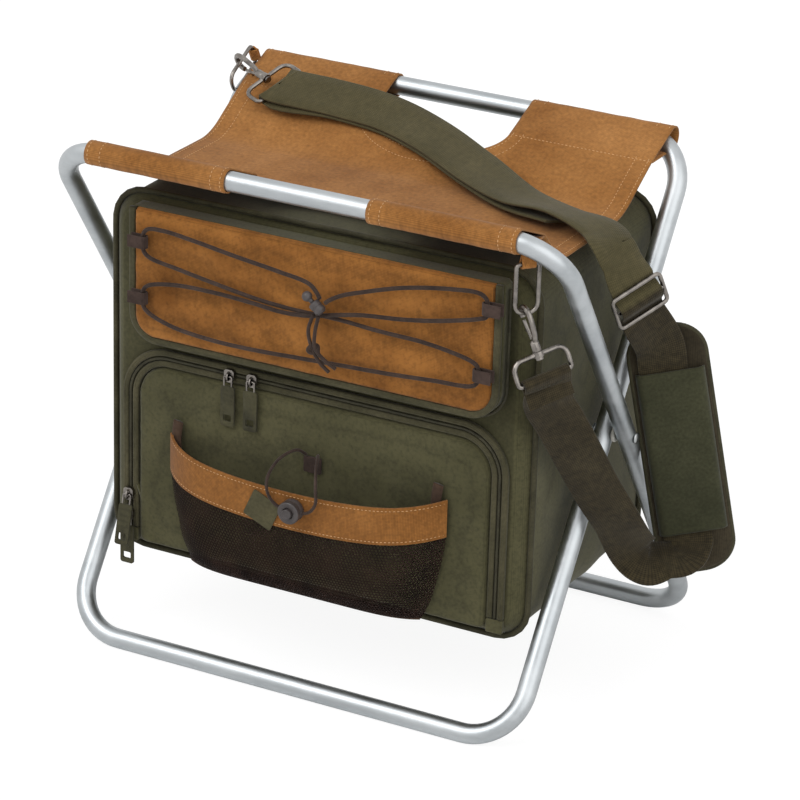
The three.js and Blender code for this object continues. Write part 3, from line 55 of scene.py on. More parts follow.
# Camera and set
# The view is that of the photograph, from the front left at a little above the seat.
# A pale floor and soft light from the front left, above.
VIEW_TURN = math.radians(27.26)
VIEW_RISE = math.radians(23.07)
VIEW_ROLL = math.radians(1.71)
CAMERA_AT = (1.3001, -2.4848, 1.4008)
FOCAL_PIXELS = 3675.67
PICTURE_PIXELS = 800
SENSOR_WIDE = 36

back_way = Vector((
    math.sin(VIEW_TURN) * math.cos(VIEW_RISE),
    -math.cos(VIEW_TURN) * math.cos(VIEW_RISE),
    math.sin(VIEW_RISE),
))
level_right = (-back_way).cross(Vector((0, 0, 1))).normalized()
level_up = level_right.cross(-back_way)
right_way = math.cos(VIEW_ROLL) * level_right + math.sin(VIEW_ROLL) * level_up
up_way = -math.sin(VIEW_ROLL) * level_right + math.cos(VIEW_ROLL) * level_up
camera = bpy.data.objects.new("camera", bpy.data.cameras.new("camera"))
camera.data.sensor_width = SENSOR_WIDE
camera.data.lens = FOCAL_PIXELS / PICTURE_PIXELS * SENSOR_WIDE
camera.data.clip_end = 30
camera_turn = Matrix((right_way, up_way, back_way)).transposed().to_4x4()
camera.matrix_world = Matrix.Translation(CAMERA_AT) @ camera_turn
scene.collection.objects.link(camera)
scene.camera = camera


def feed(tree, node, inputs):
    """Gives each socket named its value, or a link where an output is given."""
    for socket, given in inputs.items():
        if isinstance(given, bpy.types.NodeSocket):
            tree.links.new(given, node.inputs[socket])
        else:
            node.inputs[socket].default_value = given


def add_node(tree, kind, inputs=None, **settings):
    node = tree.nodes.new("ShaderNode" + kind)
    for setting, value in settings.items():
        setattr(node, setting, value)
    feed(tree, node, inputs or {})
    return node


def worked(tree, operation, *taken, kind="Math"):
    """What a math node makes of values or outputs."""
    return add_node(tree, kind, dict(enumerate(taken)), operation=operation).outputs[0]


def new_material(name):
    material = bpy.data.materials.new(name)
    material.use_nodes = True
    tree = material.node_tree
    return material, tree, tree.nodes["Principled BSDF"]


def linear(hex_colour):
    parts = [int(hex_colour[i:i + 2], 16) / 255 for i in (0, 2, 4)]
    parts = [p / 12.92 if p <= 0.04045 else ((p + 0.055) / 1.055) ** 2.4 for p in parts]
    return (*parts, 1)


WHITE = (1, 1, 1, 1)
FLOOR_HALF = 9
FLOOR_WHITE_SHARE = 0.8
FLOOR_WHITE = 1.12
floor_material, tree, shader = new_material("floor")
feed(tree, shader, {"Base Color": (0.93, 0.93, 0.93, 1), "Roughness": 0.9, "Specular IOR Level": 0})
seen = add_node(tree, "LightPath")
shown = worked(tree, "MULTIPLY", seen.outputs["Is Camera Ray"], FLOOR_WHITE_SHARE)
white = add_node(tree, "Emission", {"Strength": FLOOR_WHITE})
backdrop = add_node(tree, "MixShader", {0: shown, 1: shader.outputs[0], 2: white.outputs[0]})
tree.links.new(backdrop.outputs[0], tree.nodes["Material Output"].inputs["Surface"])
bm = bmesh.new()
bmesh.ops.create_grid(bm, x_segments=2, y_segments=2, size=FLOOR_HALF)
floor_mesh = bpy.data.meshes.new("floor")
bm.to_mesh(floor_mesh)
bm.free()
floor_mesh.materials.append(floor_material)
floor = bpy.data.objects.new("floor", floor_mesh)
scene.collection.objects.link(floor)

world = bpy.data.worlds.new("studio")
scene.world = world
world.use_nodes = True
tree = world.node_tree
tree.nodes.clear()
seen = add_node(tree, "LightPath")
either = worked(tree, "MAXIMUM", seen.outputs["Is Camera Ray"], seen.outputs["Is Glossy Ray"])
soft = add_node(tree, "Background", {"Color": WHITE, "Strength": 0.62})
pale = add_node(tree, "Background", {"Color": WHITE, "Strength": 0.9})
sky = add_node(tree, "MixShader", {0: either, 1: soft.outputs[0], 2: pale.outputs[0]})
add_node(tree, "OutputWorld", {"Surface": sky.outputs[0]})

for name, strength, spread, towards in (
    ("key", 1.1, 40, (0.45, 0.8, -1.1)),
    ("fill", 0.75, 60, (-0.9, 0.45, -0.6)),
):
    lamp = bpy.data.lights.new(name, "SUN")
    lamp.energy = strength
    lamp.angle = math.radians(spread)
    holder = bpy.data.objects.new(name, lamp)
    holder.rotation_euler = Vector(towards).to_track_quat("-Z", "Y").to_euler()
    scene.collection.objects.link(holder)

# Legs
# Two loops of drawn aluminium tube, bent at four corners and joined into a closed loop.
# The outer loop carries the front seat rail, the inner one the back rail.
TUBE_RADIUS = 8
OUTER_HALF = 225
INNER_HALF = 205.3
RAIL_OUT = 141.6
RAIL_HIGH = 429.2
FLOOR_OUT = 150.3
BEND = 44

body_of = {node: body for body, nodes in frame["record"]["behaviour"]["bodies"].items() for node in nodes}


def piece(name, bm, material, *nodes, wall=None, bevel=0, crease=None, stands_in=True, bends=None):
    """Makes the mesh an object with the given material, in place of CAD nodes where it stands in for them. It
    rides the body of the first node unless bends are given.
    """
    mesh = bpy.data.meshes.new(name)
    bm.to_mesh(mesh)
    bm.free()
    mesh.materials.append(material)
    mesh.shade_smooth()
    if crease:
        mesh.set_sharp_from_angle(angle=math.radians(crease))
    made = bpy.data.objects.new(name, mesh)
    scene.collection.objects.link(made)
    if wall:
        thick = made.modifiers.new("wall", "SOLIDIFY")
        thick.thickness, thick.offset = wall[0] * MM, wall[1]
    if bevel:
        edge = made.modifiers.new("edge", "BEVEL")
        edge.width = bevel * MM
        edge.segments = 2
        edge.limit_method = "ANGLE"
        edge.angle_limit = math.radians(35)
        edge.harden_normals = False
    if bends:
        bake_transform(made)
    else:
        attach(made, body_of[nodes[0]])
    if stands_in:
        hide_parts(*nodes)
    return made


def lofted(rings, around=True, joined=False, capped=True):
    """A skin through rings of points: each ring is extruded from the one before and moved to its place.
    The UV map is in metres, across the ring and along the rings."""
    bm = bmesh.new()
    uv = bm.loops.layers.uv.new("UVMap")
    count = len(rings[0])
    first = [bm.verts.new(p) for p in rings[0]]
    spans = [(i, (i + 1) % count) for i in range(count if around else count - 1)]
    first_edges = [bm.edges.new((first[a], first[b])) for a, b in spans]
    across = [0.0]
    for a, b in zip(rings[0], list(rings[0][1:]) + [rings[0][0]]):
        across.append(across[-1] + (Vector(b) - Vector(a)).length)
    middles = [sum((Vector(p) for p in ring), Vector()) / count for ring in rings]
    along = [0.0]
    for a, b in zip(middles, middles[1:] + [middles[0]]):
        along.append(along[-1] + max((b - a).length, (Vector(rings[0][0]) - middles[0]).length * 1e-3))
    place = {v: (k, 0) for k, v in enumerate(first)}
    edges = first_edges
    for level, ring in enumerate(rings[1:], 1):
        made = bmesh.ops.extrude_edge_only(bm, edges=edges)["geom"]
        edges = [g for g in made if isinstance(g, bmesh.types.BMEdge)]
        for v in (g for g in made if isinstance(g, bmesh.types.BMVert)):
            near = [e.other_vert(v) for e in v.link_edges]
            before = next(n for n in near if n in place and place[n][1] == level - 1)
            place[v] = (place[before][0], level)
            v.co = ring[place[v][0]]
    if joined:
        bmesh.ops.bridge_loops(bm, edges=edges + first_edges)
    for face in bm.faces:
        ks = [place[loop.vert] for loop in face.loops]
        wrap_k = around and {0, count - 1} <= {k for k, _ in ks} and count > 2
        wrap_l = joined and {0, len(rings) - 1} <= {n for _, n in ks}
        for loop, (k, n) in zip(face.loops, ks):
            k = count if wrap_k and k == 0 else k
            n = len(rings) if wrap_l and n == 0 else n
            loop[uv].uv = (across[k], along[n])
    if around and not joined and capped:
        for ends in ((edges,) if capped == "end" else (first_edges, edges)):
            bmesh.ops.contextual_create(bm, geom=ends)
    bmesh.ops.recalc_face_normals(bm, faces=bm.faces)
    return bm


def tangents(points, closed=False):
    last = len(points) - 1
    ways = []
    for i in range(len(points)):
        before = points[i - 1] if i or closed else points[0]
        after = points[(i + 1) % len(points)] if i < last or closed else points[last]
        ways.append((after - before).normalized())
    return ways


def swept(points, section, side=None, closed=False, capped=True):
    """Carries a flat section along a path given in millimetres. The section's first axis keeps to side."""
    points = [Vector(p) * MM for p in points]
    given = side if isinstance(side, list) or side is None else [Vector(side)] * len(points)
    ways = tangents(points, closed)
    carried = Vector((0, 0, 1)) if abs(ways[0].z) < 0.9 else Vector((1, 0, 0))
    rings = []
    for i, (p, way) in enumerate(zip(points, ways)):
        hint = given[i] if given else carried
        one = (hint - way * hint.dot(way)).normalized()
        two = way.cross(one)
        carried = one
        shape = section(i / (len(points) - 1)) if callable(section) else section
        rings.append([p + one * (a * MM) + two * (b * MM) for a, b in shape])
    return lofted(rings, joined=closed, capped=capped)


def circle(radius, sides=16):
    angles = [2 * math.pi * k / sides for k in range(sides)]
    return [(radius * math.cos(a), radius * math.sin(a)) for a in angles]


def rounded_outline(left, right, low, high, low_radius, high_radius, steps=10):
    """A rounded rectangle, counter-clockwise from the start of its lower right corner."""
    corners = (
        (right, low, -1, 1, low_radius, -0.5),
        (right, high, -1, -1, high_radius, 0),
        (left, high, 1, -1, high_radius, 0.5),
        (left, low, 1, 1, low_radius, 1),
    )
    points = []
    for x, z, in_x, in_z, radius, start in corners:
        for i in range(steps + 1):
            angle = math.pi * (start + 0.5 * i / steps)
            round_x, round_z = radius * math.cos(angle), radius * math.sin(angle)
            points.append((x + in_x * radius + round_x, z + in_z * radius + round_z))
    return points


def new_group(name, taken, value, given):
    """An empty node group that takes a vector and one number. Returns it with its end nodes."""
    group = bpy.data.node_groups.new(name, "ShaderNodeTree")
    group.interface.new_socket("Vector", in_out="INPUT", socket_type="NodeSocketVector")
    number = group.interface.new_socket(taken, in_out="INPUT", socket_type="NodeSocketFloat")
    number.default_value = value
    for socket in given:
        group.interface.new_socket(socket, in_out="OUTPUT", socket_type="NodeSocketFloat")
    return group, group.nodes.new("NodeGroupInput"), group.nodes.new("NodeGroupOutput")


def woven(name):
    """Node group: threads over and under along the ways of a coordinate, with slubs in their shade."""
    group, take, give = new_group(name, "Threads", 1000, ("Height", "Shade"))
    scaled = add_node(
        group, "VectorMath", {0: take.outputs["Vector"], "Scale": take.outputs["Threads"]}, operation="SCALE"
    )
    parts = add_node(group, "SeparateXYZ", {0: scaled.outputs[0]})
    waves = []
    for axis in "XYZ":
        turn = worked(group, "MULTIPLY", parts.outputs[axis], math.pi)
        waves.append(worked(group, "ABSOLUTE", worked(group, "SINE", turn)))
    flat = worked(group, "ADD", waves[0], waves[1])
    height = worked(group, "MULTIPLY", worked(group, "ADD", flat, waves[2]), 0.4)
    slub = add_node(group, "TexNoise", {"Scale": 0.35, "Detail": 2, "Vector": scaled.outputs[0]})
    shade = worked(group, "MULTIPLY", height, slub.outputs["Fac"])
    feed(group, give, {"Height": height, "Shade": shade})
    return group


def mottled(name):
    """Node group: broad and fine cloudy variation, from 0 to 1."""
    group, take, give = new_group(name, "Size", 20, ("Fac",))
    ways = {"Vector": take.outputs["Vector"], "Scale": take.outputs["Size"]}
    broad = add_node(group, "TexNoise", {"Detail": 5, "Roughness": 0.62, **ways})
    spread = add_node(group, "MapRange", {"From Min": 0.32, "From Max": 0.68, "Value": broad.outputs["Fac"]})
    feed(group, give, {"Fac": spread.outputs["Result"]})
    return group


weave_group = woven("woven threads")
mottle_group = mottled("cloudy variation")


def mottled_colour(tree, source, dark, light, size):
    """A colour between two, varied over the surface. Returns its output and the variation's."""
    clouds = add_node(tree, "Group", {"Size": size, "Vector": source}, node_tree=mottle_group).outputs["Fac"]
    mix = add_node(tree, "Mix", {"A": linear(dark), "B": linear(light), "Factor": clouds}, data_type="RGBA")
    return mix.outputs["Result"], clouds


def raised(tree, shader, height, strength, distance):
    """Gives a shader a relief from a height."""
    bump = add_node(tree, "Bump", {"Strength": strength, "Distance": distance, "Height": height})
    feed(tree, shader, {"Normal": bump.outputs["Normal"]})


def metal(name, dark, light, roughness, grain, stretch=(1, 1, 1)):
    material, tree, shader = new_material(name)
    place = add_node(tree, "TexCoord").outputs["Object"]
    drawn = add_node(tree, "Mapping", {"Scale": stretch, "Vector": place}).outputs["Vector"]
    colour, clouds = mottled_colour(tree, drawn, dark, light, grain)
    least, most = roughness * 0.8, roughness * 1.25
    rough = add_node(tree, "MapRange", {"To Min": least, "To Max": most, "Value": clouds})
    fine = add_node(tree, "TexNoise", {"Scale": grain * 40, "Detail": 3, "Vector": drawn})
    raised(tree, shader, fine.outputs["Fac"], 0.12, 0.0002)
    feed(tree, shader, {"Base Color": colour, "Roughness": rough.outputs["Result"], "Metallic": 1})
    return material


def plain(name, dark, light, size, roughness):
    """A smooth material with a little variation in its colour."""
    material, tree, shader = new_material(name)
    place = add_node(tree, "TexCoord").outputs["Object"]
    colour = mottled_colour(tree, place, dark, light, size)[0]
    feed(tree, shader, {"Base Color": colour, "Roughness": roughness})
    return material


aluminium = metal("satin_aluminium", "a8adb0", "c9cdcf", 0.4, 30, (0.25, 1, 1))


def frame_path(half, seat_side, steps=14):
    low = Vector((0, -seat_side * FLOOR_OUT, TUBE_RADIUS))
    high = Vector((0, seat_side * RAIL_OUT, RAIL_HIGH))
    up = (high - low).normalized()
    outline = rounded_outline(-half, half, 0, (high - low).length, BEND, BEND, steps)
    return [low + Vector((1, 0, 0)) * x + up * z for x, z in outline], Vector((1, 0, 0)).cross(up)


def even(points, count, closed=True):
    """The same path as evenly spaced points."""
    points = [Vector(p) for p in points]
    ring = points + [points[0]] if closed else points
    lengths = [0.0]
    for a, b in zip(ring, ring[1:]):
        lengths.append(lengths[-1] + (b - a).length)
    spots = []
    span = 0
    for i in range(count):
        far = lengths[-1] * i / (count if closed else count - 1)
        while span < len(ring) - 2 and lengths[span + 1] < far:
            span += 1
        share = (far - lengths[span]) / max(lengths[span + 1] - lengths[span], 1e-9)
        spots.append(ring[span].lerp(ring[span + 1], min(share, 1)))
    return spots


TUBE_GROW = 0.15
for which, half, seat_side in (("outer", OUTER_HALF, -1), ("inner", INNER_HALF, 1)):
    path, facing = frame_path(half, seat_side)
    tube = swept(path, circle(TUBE_RADIUS + TUBE_GROW, 32), side=facing, closed=True)
    piece(which + "_tube", tube, aluminium, which + "_frame")

# Pivots
# A solid rivet with a domed head joins the two legs on each side, with a nylon washer between them.
# The head is set against the tube.


def turned(profile, at, way, steps=40):
    """A profile of radius and height spun about a way that leaves a point, in millimetres."""
    bm = bmesh.new()
    verts = [bm.verts.new((r * MM, 0, h * MM)) for r, h in profile]
    edges = [bm.edges.new(pair) for pair in zip(verts, verts[1:])]
    whole_turn = {"cent": (0, 0, 0), "axis": (0, 0, 1), "angle": 2 * math.pi}
    bmesh.ops.spin(bm, geom=verts + edges, steps=steps, use_merge=True, **whole_turn)
    bmesh.ops.remove_doubles(bm, verts=bm.verts, dist=1e-6)
    bmesh.ops.recalc_face_normals(bm, faces=bm.faces)
    turn = Vector((0, 0, 1)).rotation_difference(Vector(way)).to_matrix().to_4x4()
    bm.transform(Matrix.Translation(Vector(at) * MM) @ turn)
    return bm


nylon = plain("nylon_washer", "c9c6bc", "dedcd4", 60, 0.5)
rivet_metal = metal("rivet_metal", "9c9f9f", "bfc2c2", 0.3, 90)

PIVOT_HIGH = 224.877
RIVET_RADIUS = 2.5
HEAD_HIGH = 2
TUBE_CLEAR = 8.6
inner_face = INNER_HALF - TUBE_CLEAR
outer_face = OUTER_HALF + TUBE_CLEAR
dome = [(5.2 * math.cos(a), HEAD_HIGH * math.sin(a)) for a in (math.pi / 2 * i / 6 for i in range(6))]
for side, sign in (("left", -1), ("right", 1)):
    pivot = (0, 0, PIVOT_HIGH), (sign, 0, 0)
    profile = [(0, inner_face - HEAD_HIGH)] + [(r, inner_face - h) for r, h in reversed(dome)]
    profile += [(RIVET_RADIUS, inner_face), (RIVET_RADIUS, outer_face)]
    profile += [(r, outer_face + h) for r, h in dome] + [(0, outer_face + HEAD_HIGH)]
    piece("rivet_" + side, turned(profile, *pivot), rivet_metal, "pivot_rivet_" + side, bevel=0.15)
    low, high = INNER_HALF + TUBE_CLEAR, OUTER_HALF - TUBE_CLEAR
    washer = [(2.8, low), (6.6, low), (7, low + 0.4), (7, high - 0.4), (6.6, high), (2.8, high), (2.8, low)]
    piece("washer_" + side, turned(washer, *pivot), nylon, "leg_washer_" + side)

# Seat
# One piece of brushed canvas with a sleeve sewn round each seat rail, two curved notches for the hands,
# and turned hems stitched with pale thread. The frames stretch it, and it rests on the bag.
CANVAS_HALF = 191
SEAT_BEND = ((0, -0.12, 0.39), (0, 0.12, 0.39))
NOTCH_HALF = 63
NOTCH_OUT = 70
SEAM_OUT = 100
SEAM_HIGH = 421.2
CANVAS_LOW = 389.15
WRAP = 9.28
STACK = 0.85
FRONT_REST = 68
BACK_REST = 46


def fabric(
    name, dark, light, threads, coords="UV", bump=0.35, sheen=0.1, size=14, roughness=0.85, depth=0.00025,
    grain=0.5,
):
    """Cloth dyed between two colours. threads are those in a metre, and grain how far the gaps are shaded."""
    material, tree, shader = new_material(name)
    source = add_node(tree, "TexCoord").outputs[coords]
    colour = mottled_colour(tree, source, dark, light, size)[0]
    weave = add_node(tree, "Group", {"Threads": threads, "Vector": source}, node_tree=weave_group)
    shades = {"From Max": 0.5, "To Min": 1 - grain, "To Max": 1 + grain / 2}
    gaps = add_node(tree, "MapRange", {**shades, "Value": weave.outputs["Shade"]}).outputs["Result"]
    dyed = add_node(
        tree, "Mix", {"Factor": 1, "A": colour, "B": gaps}, data_type="RGBA", blend_type="MULTIPLY"
    )
    raised(tree, shader, weave.outputs["Height"], bump, depth)
    feed(tree, shader, {
        "Base Color": dyed.outputs["Result"], "Roughness": roughness, "Sheen Weight": sheen,
        "Sheen Roughness": 0.5, "Specular IOR Level": 0.15,
    })
    return material


seat_canvas_cloth = fabric("tan_canvas", "875625", "b37d45", 900, size=9)


def ripple(x, y, z):
    return noise.noise(Vector((x, y, z)))


SEAM_MIDDLE = SEAM_HIGH + STACK


def seat_high(y):
    """How high the cloth's middle line lies at y between the seams."""
    def straight(v):
        on_bag = FRONT_REST if v < 0 else BACK_REST
        climb = max(0, (abs(v) - on_bag) / (SEAM_OUT - on_bag))
        return CANVAS_LOW + (SEAM_MIDDLE - CANVAS_LOW) * climb
    reach = min(14, SEAM_OUT - abs(y))
    return sum(straight(y + reach * k / 4) for k in range(-4, 5)) / 9


def tension(x, y):
    """Soft drag lines from rail to rail, only ever upwards."""
    edge = min(1, max(0, (SEAM_OUT - abs(y)) / 30))
    lines = ripple(x / 26, y / 160, 3.1) + 0.6 * ripple(x / 60, y / 70, 8.2)
    return 1.3 * edge * (lines + 0.8)


def sleeve_points(side, steps=22):
    """Middle line of a sleeve, from its sewn lower edge round the rail to the upper edge."""
    dy, dz = SEAM_OUT - RAIL_OUT, SEAM_HIGH - RAIL_HIGH
    to_seam = math.atan2(dz, dy)
    opening = math.acos(WRAP / math.hypot(dy, dz))
    line = [(SEAM_OUT, SEAM_HIGH - STACK)]
    for i in range(5):
        a = to_seam + opening
        end = (RAIL_OUT + WRAP * math.cos(a), RAIL_HIGH + WRAP * math.sin(a))
        if i:
            run = (end[0] - SEAM_OUT) * i / 5, (end[1] - SEAM_HIGH + STACK) * i / 5
            line.append((SEAM_OUT + run[0], SEAM_HIGH - STACK + run[1]))
    for i in range(steps + 1):
        a = to_seam + opening + (2 * math.pi - 2 * opening) * i / steps
        line.append((RAIL_OUT + WRAP * math.cos(a), RAIL_HIGH + WRAP * math.sin(a)))
    end = line[-1]
    for i in range(1, 5):
        line.append((end[0] + (SEAM_OUT - end[0]) * i / 5, end[1] + (SEAM_MIDDLE - end[1]) * i / 5))
    return [(side * y, z) for y, z in line]


def notch_edge(x):
    return SEAM_OUT - (SEAM_OUT - NOTCH_OUT) * math.sqrt(max(0, 1 - (x / NOTCH_HALF) ** 2))


MID_ROWS = 64
MID_COLUMNS = 40


def add_to(whole, part):
    """Moves the mesh of one piece into another's."""
    mesh = bpy.data.meshes.new("part")
    part.to_mesh(mesh)
    part.free()
    whole.from_mesh(mesh)
    bpy.data.meshes.remove(mesh)


front_sleeve = sleeve_points(-1)
back_sleeve = list(reversed(sleeve_points(1)))
cloth = bmesh.new()
for x_from, x_to in ((-CANVAS_HALF, -NOTCH_HALF), (-NOTCH_HALF, NOTCH_HALF), (NOTCH_HALF, CANVAS_HALF)):
    middle = x_from == -NOTCH_HALF
    rings = []
    for i in range(MID_COLUMNS + 1):
        x = x_from + (x_to - x_from) * i / MID_COLUMNS
        if middle:
            x = -NOTCH_HALF * math.cos(math.pi * i / MID_COLUMNS)
        edge = notch_edge(x) if middle else SEAM_OUT
        mids = [-edge + 2 * edge * k / (MID_ROWS - 1) for k in range(MID_ROWS)]
        line = [(y, seat_high(y) + tension(x, y)) for y in mids]
        if not middle:
            slack = 0.35 * ripple(x / 12, 1.7, 0)
            line = [(y, z + slack) for y, z in front_sleeve] + line + [(y, z + slack) for y, z in back_sleeve]
        rings.append([Vector((x, y, z)) * MM for y, z in line])
    add_to(cloth, lofted(rings, around=False))
bmesh.ops.remove_doubles(cloth, verts=cloth.verts, dist=1e-5)
bmesh.ops.recalc_face_normals(cloth, faces=cloth.faces)
uv = cloth.loops.layers.uv.verify()
for face in cloth.faces:
    for loop in face.loops:
        co = loop.vert.co
        loop[uv].uv = (co.x, co.y * 0.8 + co.z * 0.6)
seat_area = sum(face.calc_area() for face in cloth.faces)
seat_cloth = piece("seat_cloth", cloth, seat_canvas_cloth, "seat_canvas", wall=(1.4, 0), bends=SEAT_BEND)
seat_run = front_sleeve + [(y, seat_high(y)) for y in range(-SEAM_OUT, SEAM_OUT + 1, 5)] + back_sleeve


def stitched(name, lines, material, node, pitch=3.4, length=2.4, thick=0.75, bends=None):
    """Rows of thread along lines given in millimetres, on the body of a node unless bends are given."""
    bm = bmesh.new()
    for line in lines:
        total = sum((Vector(b) - Vector(a)).length for a, b in zip(line, line[1:]))
        count = max(2, round(total / pitch))
        spots = even(line, count * 2, closed=False)
        for a, b in zip(spots[::2], spots[1::2]):
            way = (b - a).normalized()
            turn = Vector((1, 0, 0)).rotation_difference(way).to_matrix().to_4x4()
            size = Matrix.Diagonal((length / 2 * MM, thick / 2 * MM, thick / 2 * MM, 1))
            placed = Matrix.Translation((a + b) / 2 * MM) @ turn @ size
            bmesh.ops.create_icosphere(bm, subdivisions=1, radius=1, matrix=placed)
    return piece(name, bm, material, node, stands_in=False, bends=bends)


pale_thread = plain("pale_thread", "c29464", "d2a878", 120, 0.7)


def on_seat(x, y):
    return (x, y, seat_high(y) + tension(x, y) + 0.8)


def round_sleeve(x, side):
    """A line on the sleeve's outside, round the rail."""
    line = []
    for y, z in sleeve_points(side, 40)[4:-4]:
        out = Vector((y - side * RAIL_OUT, z - RAIL_HIGH)).normalized()
        line.append((x, y + out.x * 0.8, z + out.y * 0.8))
    return line


seat_lines = []
for sign in (-1, 1):
    for in_from in (3.2, 14.5):
        x = sign * (CANVAS_HALF - in_from)
        seat_lines.append([on_seat(x, -SEAM_OUT + 2 * SEAM_OUT * k / 60) for k in range(61)])
        seat_lines += [round_sleeve(x, -1), round_sleeve(x, 1)]
    across = [sign * (NOTCH_HALF + 2 + (CANVAS_HALF - NOTCH_HALF - 4) * k / 40) for k in range(41)]
    for side in (-1, 1):
        seat_lines += [round_sleeve(sign * (NOTCH_HALF + in_from), side) for in_from in (3, 12)]
        seat_lines.append([on_seat(x, side * (SEAM_OUT - 2.2)) for x in across])
for side in (-1, 1):
    for in_from in (3, 12):
        line = []
        for k in range(61):
            a = math.pi * k / 60
            x = -math.cos(a) * (NOTCH_HALF + in_from)
            out = SEAM_OUT - (SEAM_OUT - NOTCH_OUT + in_from) * math.sin(a)
            line.append(on_seat(x, side * out))
        seat_lines.append(line)
stitched("seat_stitches", seat_lines, pale_thread, "seat_canvas", bends=SEAT_BEND)

# Cooler bag
# A padded box of olive cloth over foam, lined with foil, with corded piping in its front and back edges.
# Its front is open behind the lower flap, and its sides swell a little.
BAG_HALF = 190
BAG_TOP = 388
BAG_LOW = 77
BAG_FRONT = 103
BAG_FACE = 112
BAG_BACK = 114
FLAP_HALF = 161.5
FLAP_TOP = 246
FLAP_LOW = 84
AROUND = 240

olive_cloth = fabric("olive_cloth", "3a3822", "4e4b33", 1000, coords="Object", bump=0.3, size=9, sheen=0.15)
olive_trim = fabric("olive_trim", "353320", "55503a", 900, bump=0.3, size=16, sheen=0.1, roughness=0.75)
foil, tree, shader = new_material("foil_lining")
place = add_node(tree, "TexCoord").outputs["Object"]
creases = add_node(tree, "TexVoronoi", {"Scale": 70, "Vector": place})
raised(tree, shader, creases.outputs["Distance"], 0.5, 0.0012)
foil_colour = mottled_colour(tree, place, "a4a8ab", "c8cbcd", 12)[0]
feed(tree, shader, {"Base Color": foil_colour, "Metallic": 0.75, "Roughness": 0.32})


def bag_outline(inset):
    radius = max(26 - inset, 5)
    half = BAG_HALF - inset
    return rounded_outline(-half, half, BAG_LOW + inset, BAG_TOP - inset, radius, radius)


def flap_outline(grow, steps=10):
    return rounded_outline(
        -FLAP_HALF - grow, FLAP_HALF + grow, FLAP_LOW - grow, FLAP_TOP + grow,
        max(8 + grow, 3.6), max(28 + grow, 3.6), steps,
    )


def ring_at(outline, y, swell=0.0, crumple=0.0):
    """An even ring in the plane at y, swollen outwards except at the top, where the seat lies."""
    spots = even(outline, AROUND)
    middle = Vector((0, (BAG_TOP + BAG_LOW) / 2))
    ring = []
    for i, p in enumerate(spots):
        way = spots[(i + 1) % AROUND] - spots[i - 1]
        out = Vector((way.y, -way.x)).normalized()
        if out.dot(p - middle) < 0:
            out = -out
        share = max(0.0, min(1.0, (BAG_TOP - 6 - p.y) / 25))
        folds = ripple(p.x / 38, y / 30, p.y / 55) + 0.5 * ripple(p.x / 16, y / 14, p.y / 22 + 5)
        q = p + out * share * (swell + crumple * folds)
        ring.append(Vector((q.x, y, q.y)) * MM)
    return ring


rings = [ring_at(flap_outline(-8), -BAG_FACE + 4.8), ring_at(flap_outline(-8), -BAG_FACE)]
mouth = even(flap_outline(-8), AROUND)
border = even(bag_outline(12), AROUND)
for k in range(1, 6):
    between = [m.lerp(b, k / 6) for m, b in zip(mouth, border)]
    rings.append([Vector((p.x, -BAG_FACE, p.y)) * MM for p in between])
front_rounds = (
    (12, -BAG_FACE), (8.5, -BAG_FACE + 1.2), (5, -BAG_FACE + 4.4), (2, -BAG_FRONT + 0.4),
    (0, -BAG_FRONT + 2.4),
)
back_rounds = ((0, BAG_BACK - 5), (1.5, BAG_BACK - 1.5), (5, BAG_BACK))
rings += [ring_at(bag_outline(inset), y) for inset, y in front_rounds]
for k in range(1, 22):
    y = -BAG_FRONT + 2.4 + (BAG_BACK + BAG_FRONT - 7.4) * k / 22
    hump = math.sin(math.pi * k / 22) ** 0.6
    rings.append(ring_at(bag_outline(0), y, 1.6 * hump, 1.3 * hump))
rings += [ring_at(bag_outline(inset), y) for inset, y in back_rounds]
rings += [ring_at(bag_outline(inset), BAG_BACK) for inset in (30, 60, 100, 140)]
piece("bag_cover", lofted(rings, capped="end"), olive_cloth, "bag_shell", wall=(4.6, -1))

rings = [ring_at(flap_outline(-8), -BAG_FACE + 5.5), ring_at(bag_outline(17), -BAG_FACE + 5.6)]
rings.append(ring_at(bag_outline(5.6), -BAG_FRONT + 5.6))
rings += [ring_at(bag_outline(5.6), -BAG_FRONT + 5.6 + 200 * k / 8, 0, 0.3) for k in range(1, 9)]
rings += [ring_at(bag_outline(inset), BAG_BACK - 5.6) for inset in (12, 60, 140)]
piece("foil_liner", lofted(rings, capped="end"), foil, "bag_liner", wall=(1, -1))

corded = fabric("corded_edge", "2f2d1e", "4c4834", 1500, bump=0.25, size=30, roughness=0.6, sheen=0.05)
for side, y in (("front", -BAG_FRONT + 1.54), ("back", BAG_BACK - 5)):
    path = [(p.x, y, p.y) for p in even(bag_outline(-2.2), 160)]
    cord = swept(path, circle(2.5, 12), side=(0, 1, 0), closed=True)
    piece(side + "_edge_cord", cord, corded, side + "_piping")

# Lower flap
# The padded front of the cold compartment. It is sewn along its lower edge, closes with a coil zip whose
# tapes are welted, and has a soft fullness with light puckers along the seams.
FLAP_BACK = 112.3


def edge_distance(x, z, half_w, half_h, low_radius, high_radius):
    radius = high_radius if z > 0 else low_radius
    dx, dz = abs(x) - (half_w - radius), abs(z) - (half_h - radius)
    return radius - math.hypot(max(dx, 0), max(dz, 0)) - min(max(dx, dz), 0)


def in_rounded(a, b, half_w, half_h, low_radius, high_radius):
    """Where a place in a unit square lies in a rounded rectangle."""
    x, z = a * half_w, b * half_h
    radius = high_radius if b > 0 else low_radius
    p, q = (abs(x) - half_w + radius) / radius, (abs(z) - half_h + radius) / radius
    if p > 0 and q > 0:
        x = math.copysign(half_w - radius + radius * p * math.sqrt(1 - q * q / 2), x)
        z = math.copysign(half_h - radius + radius * q * math.sqrt(1 - p * p / 2), z)
    return x, z


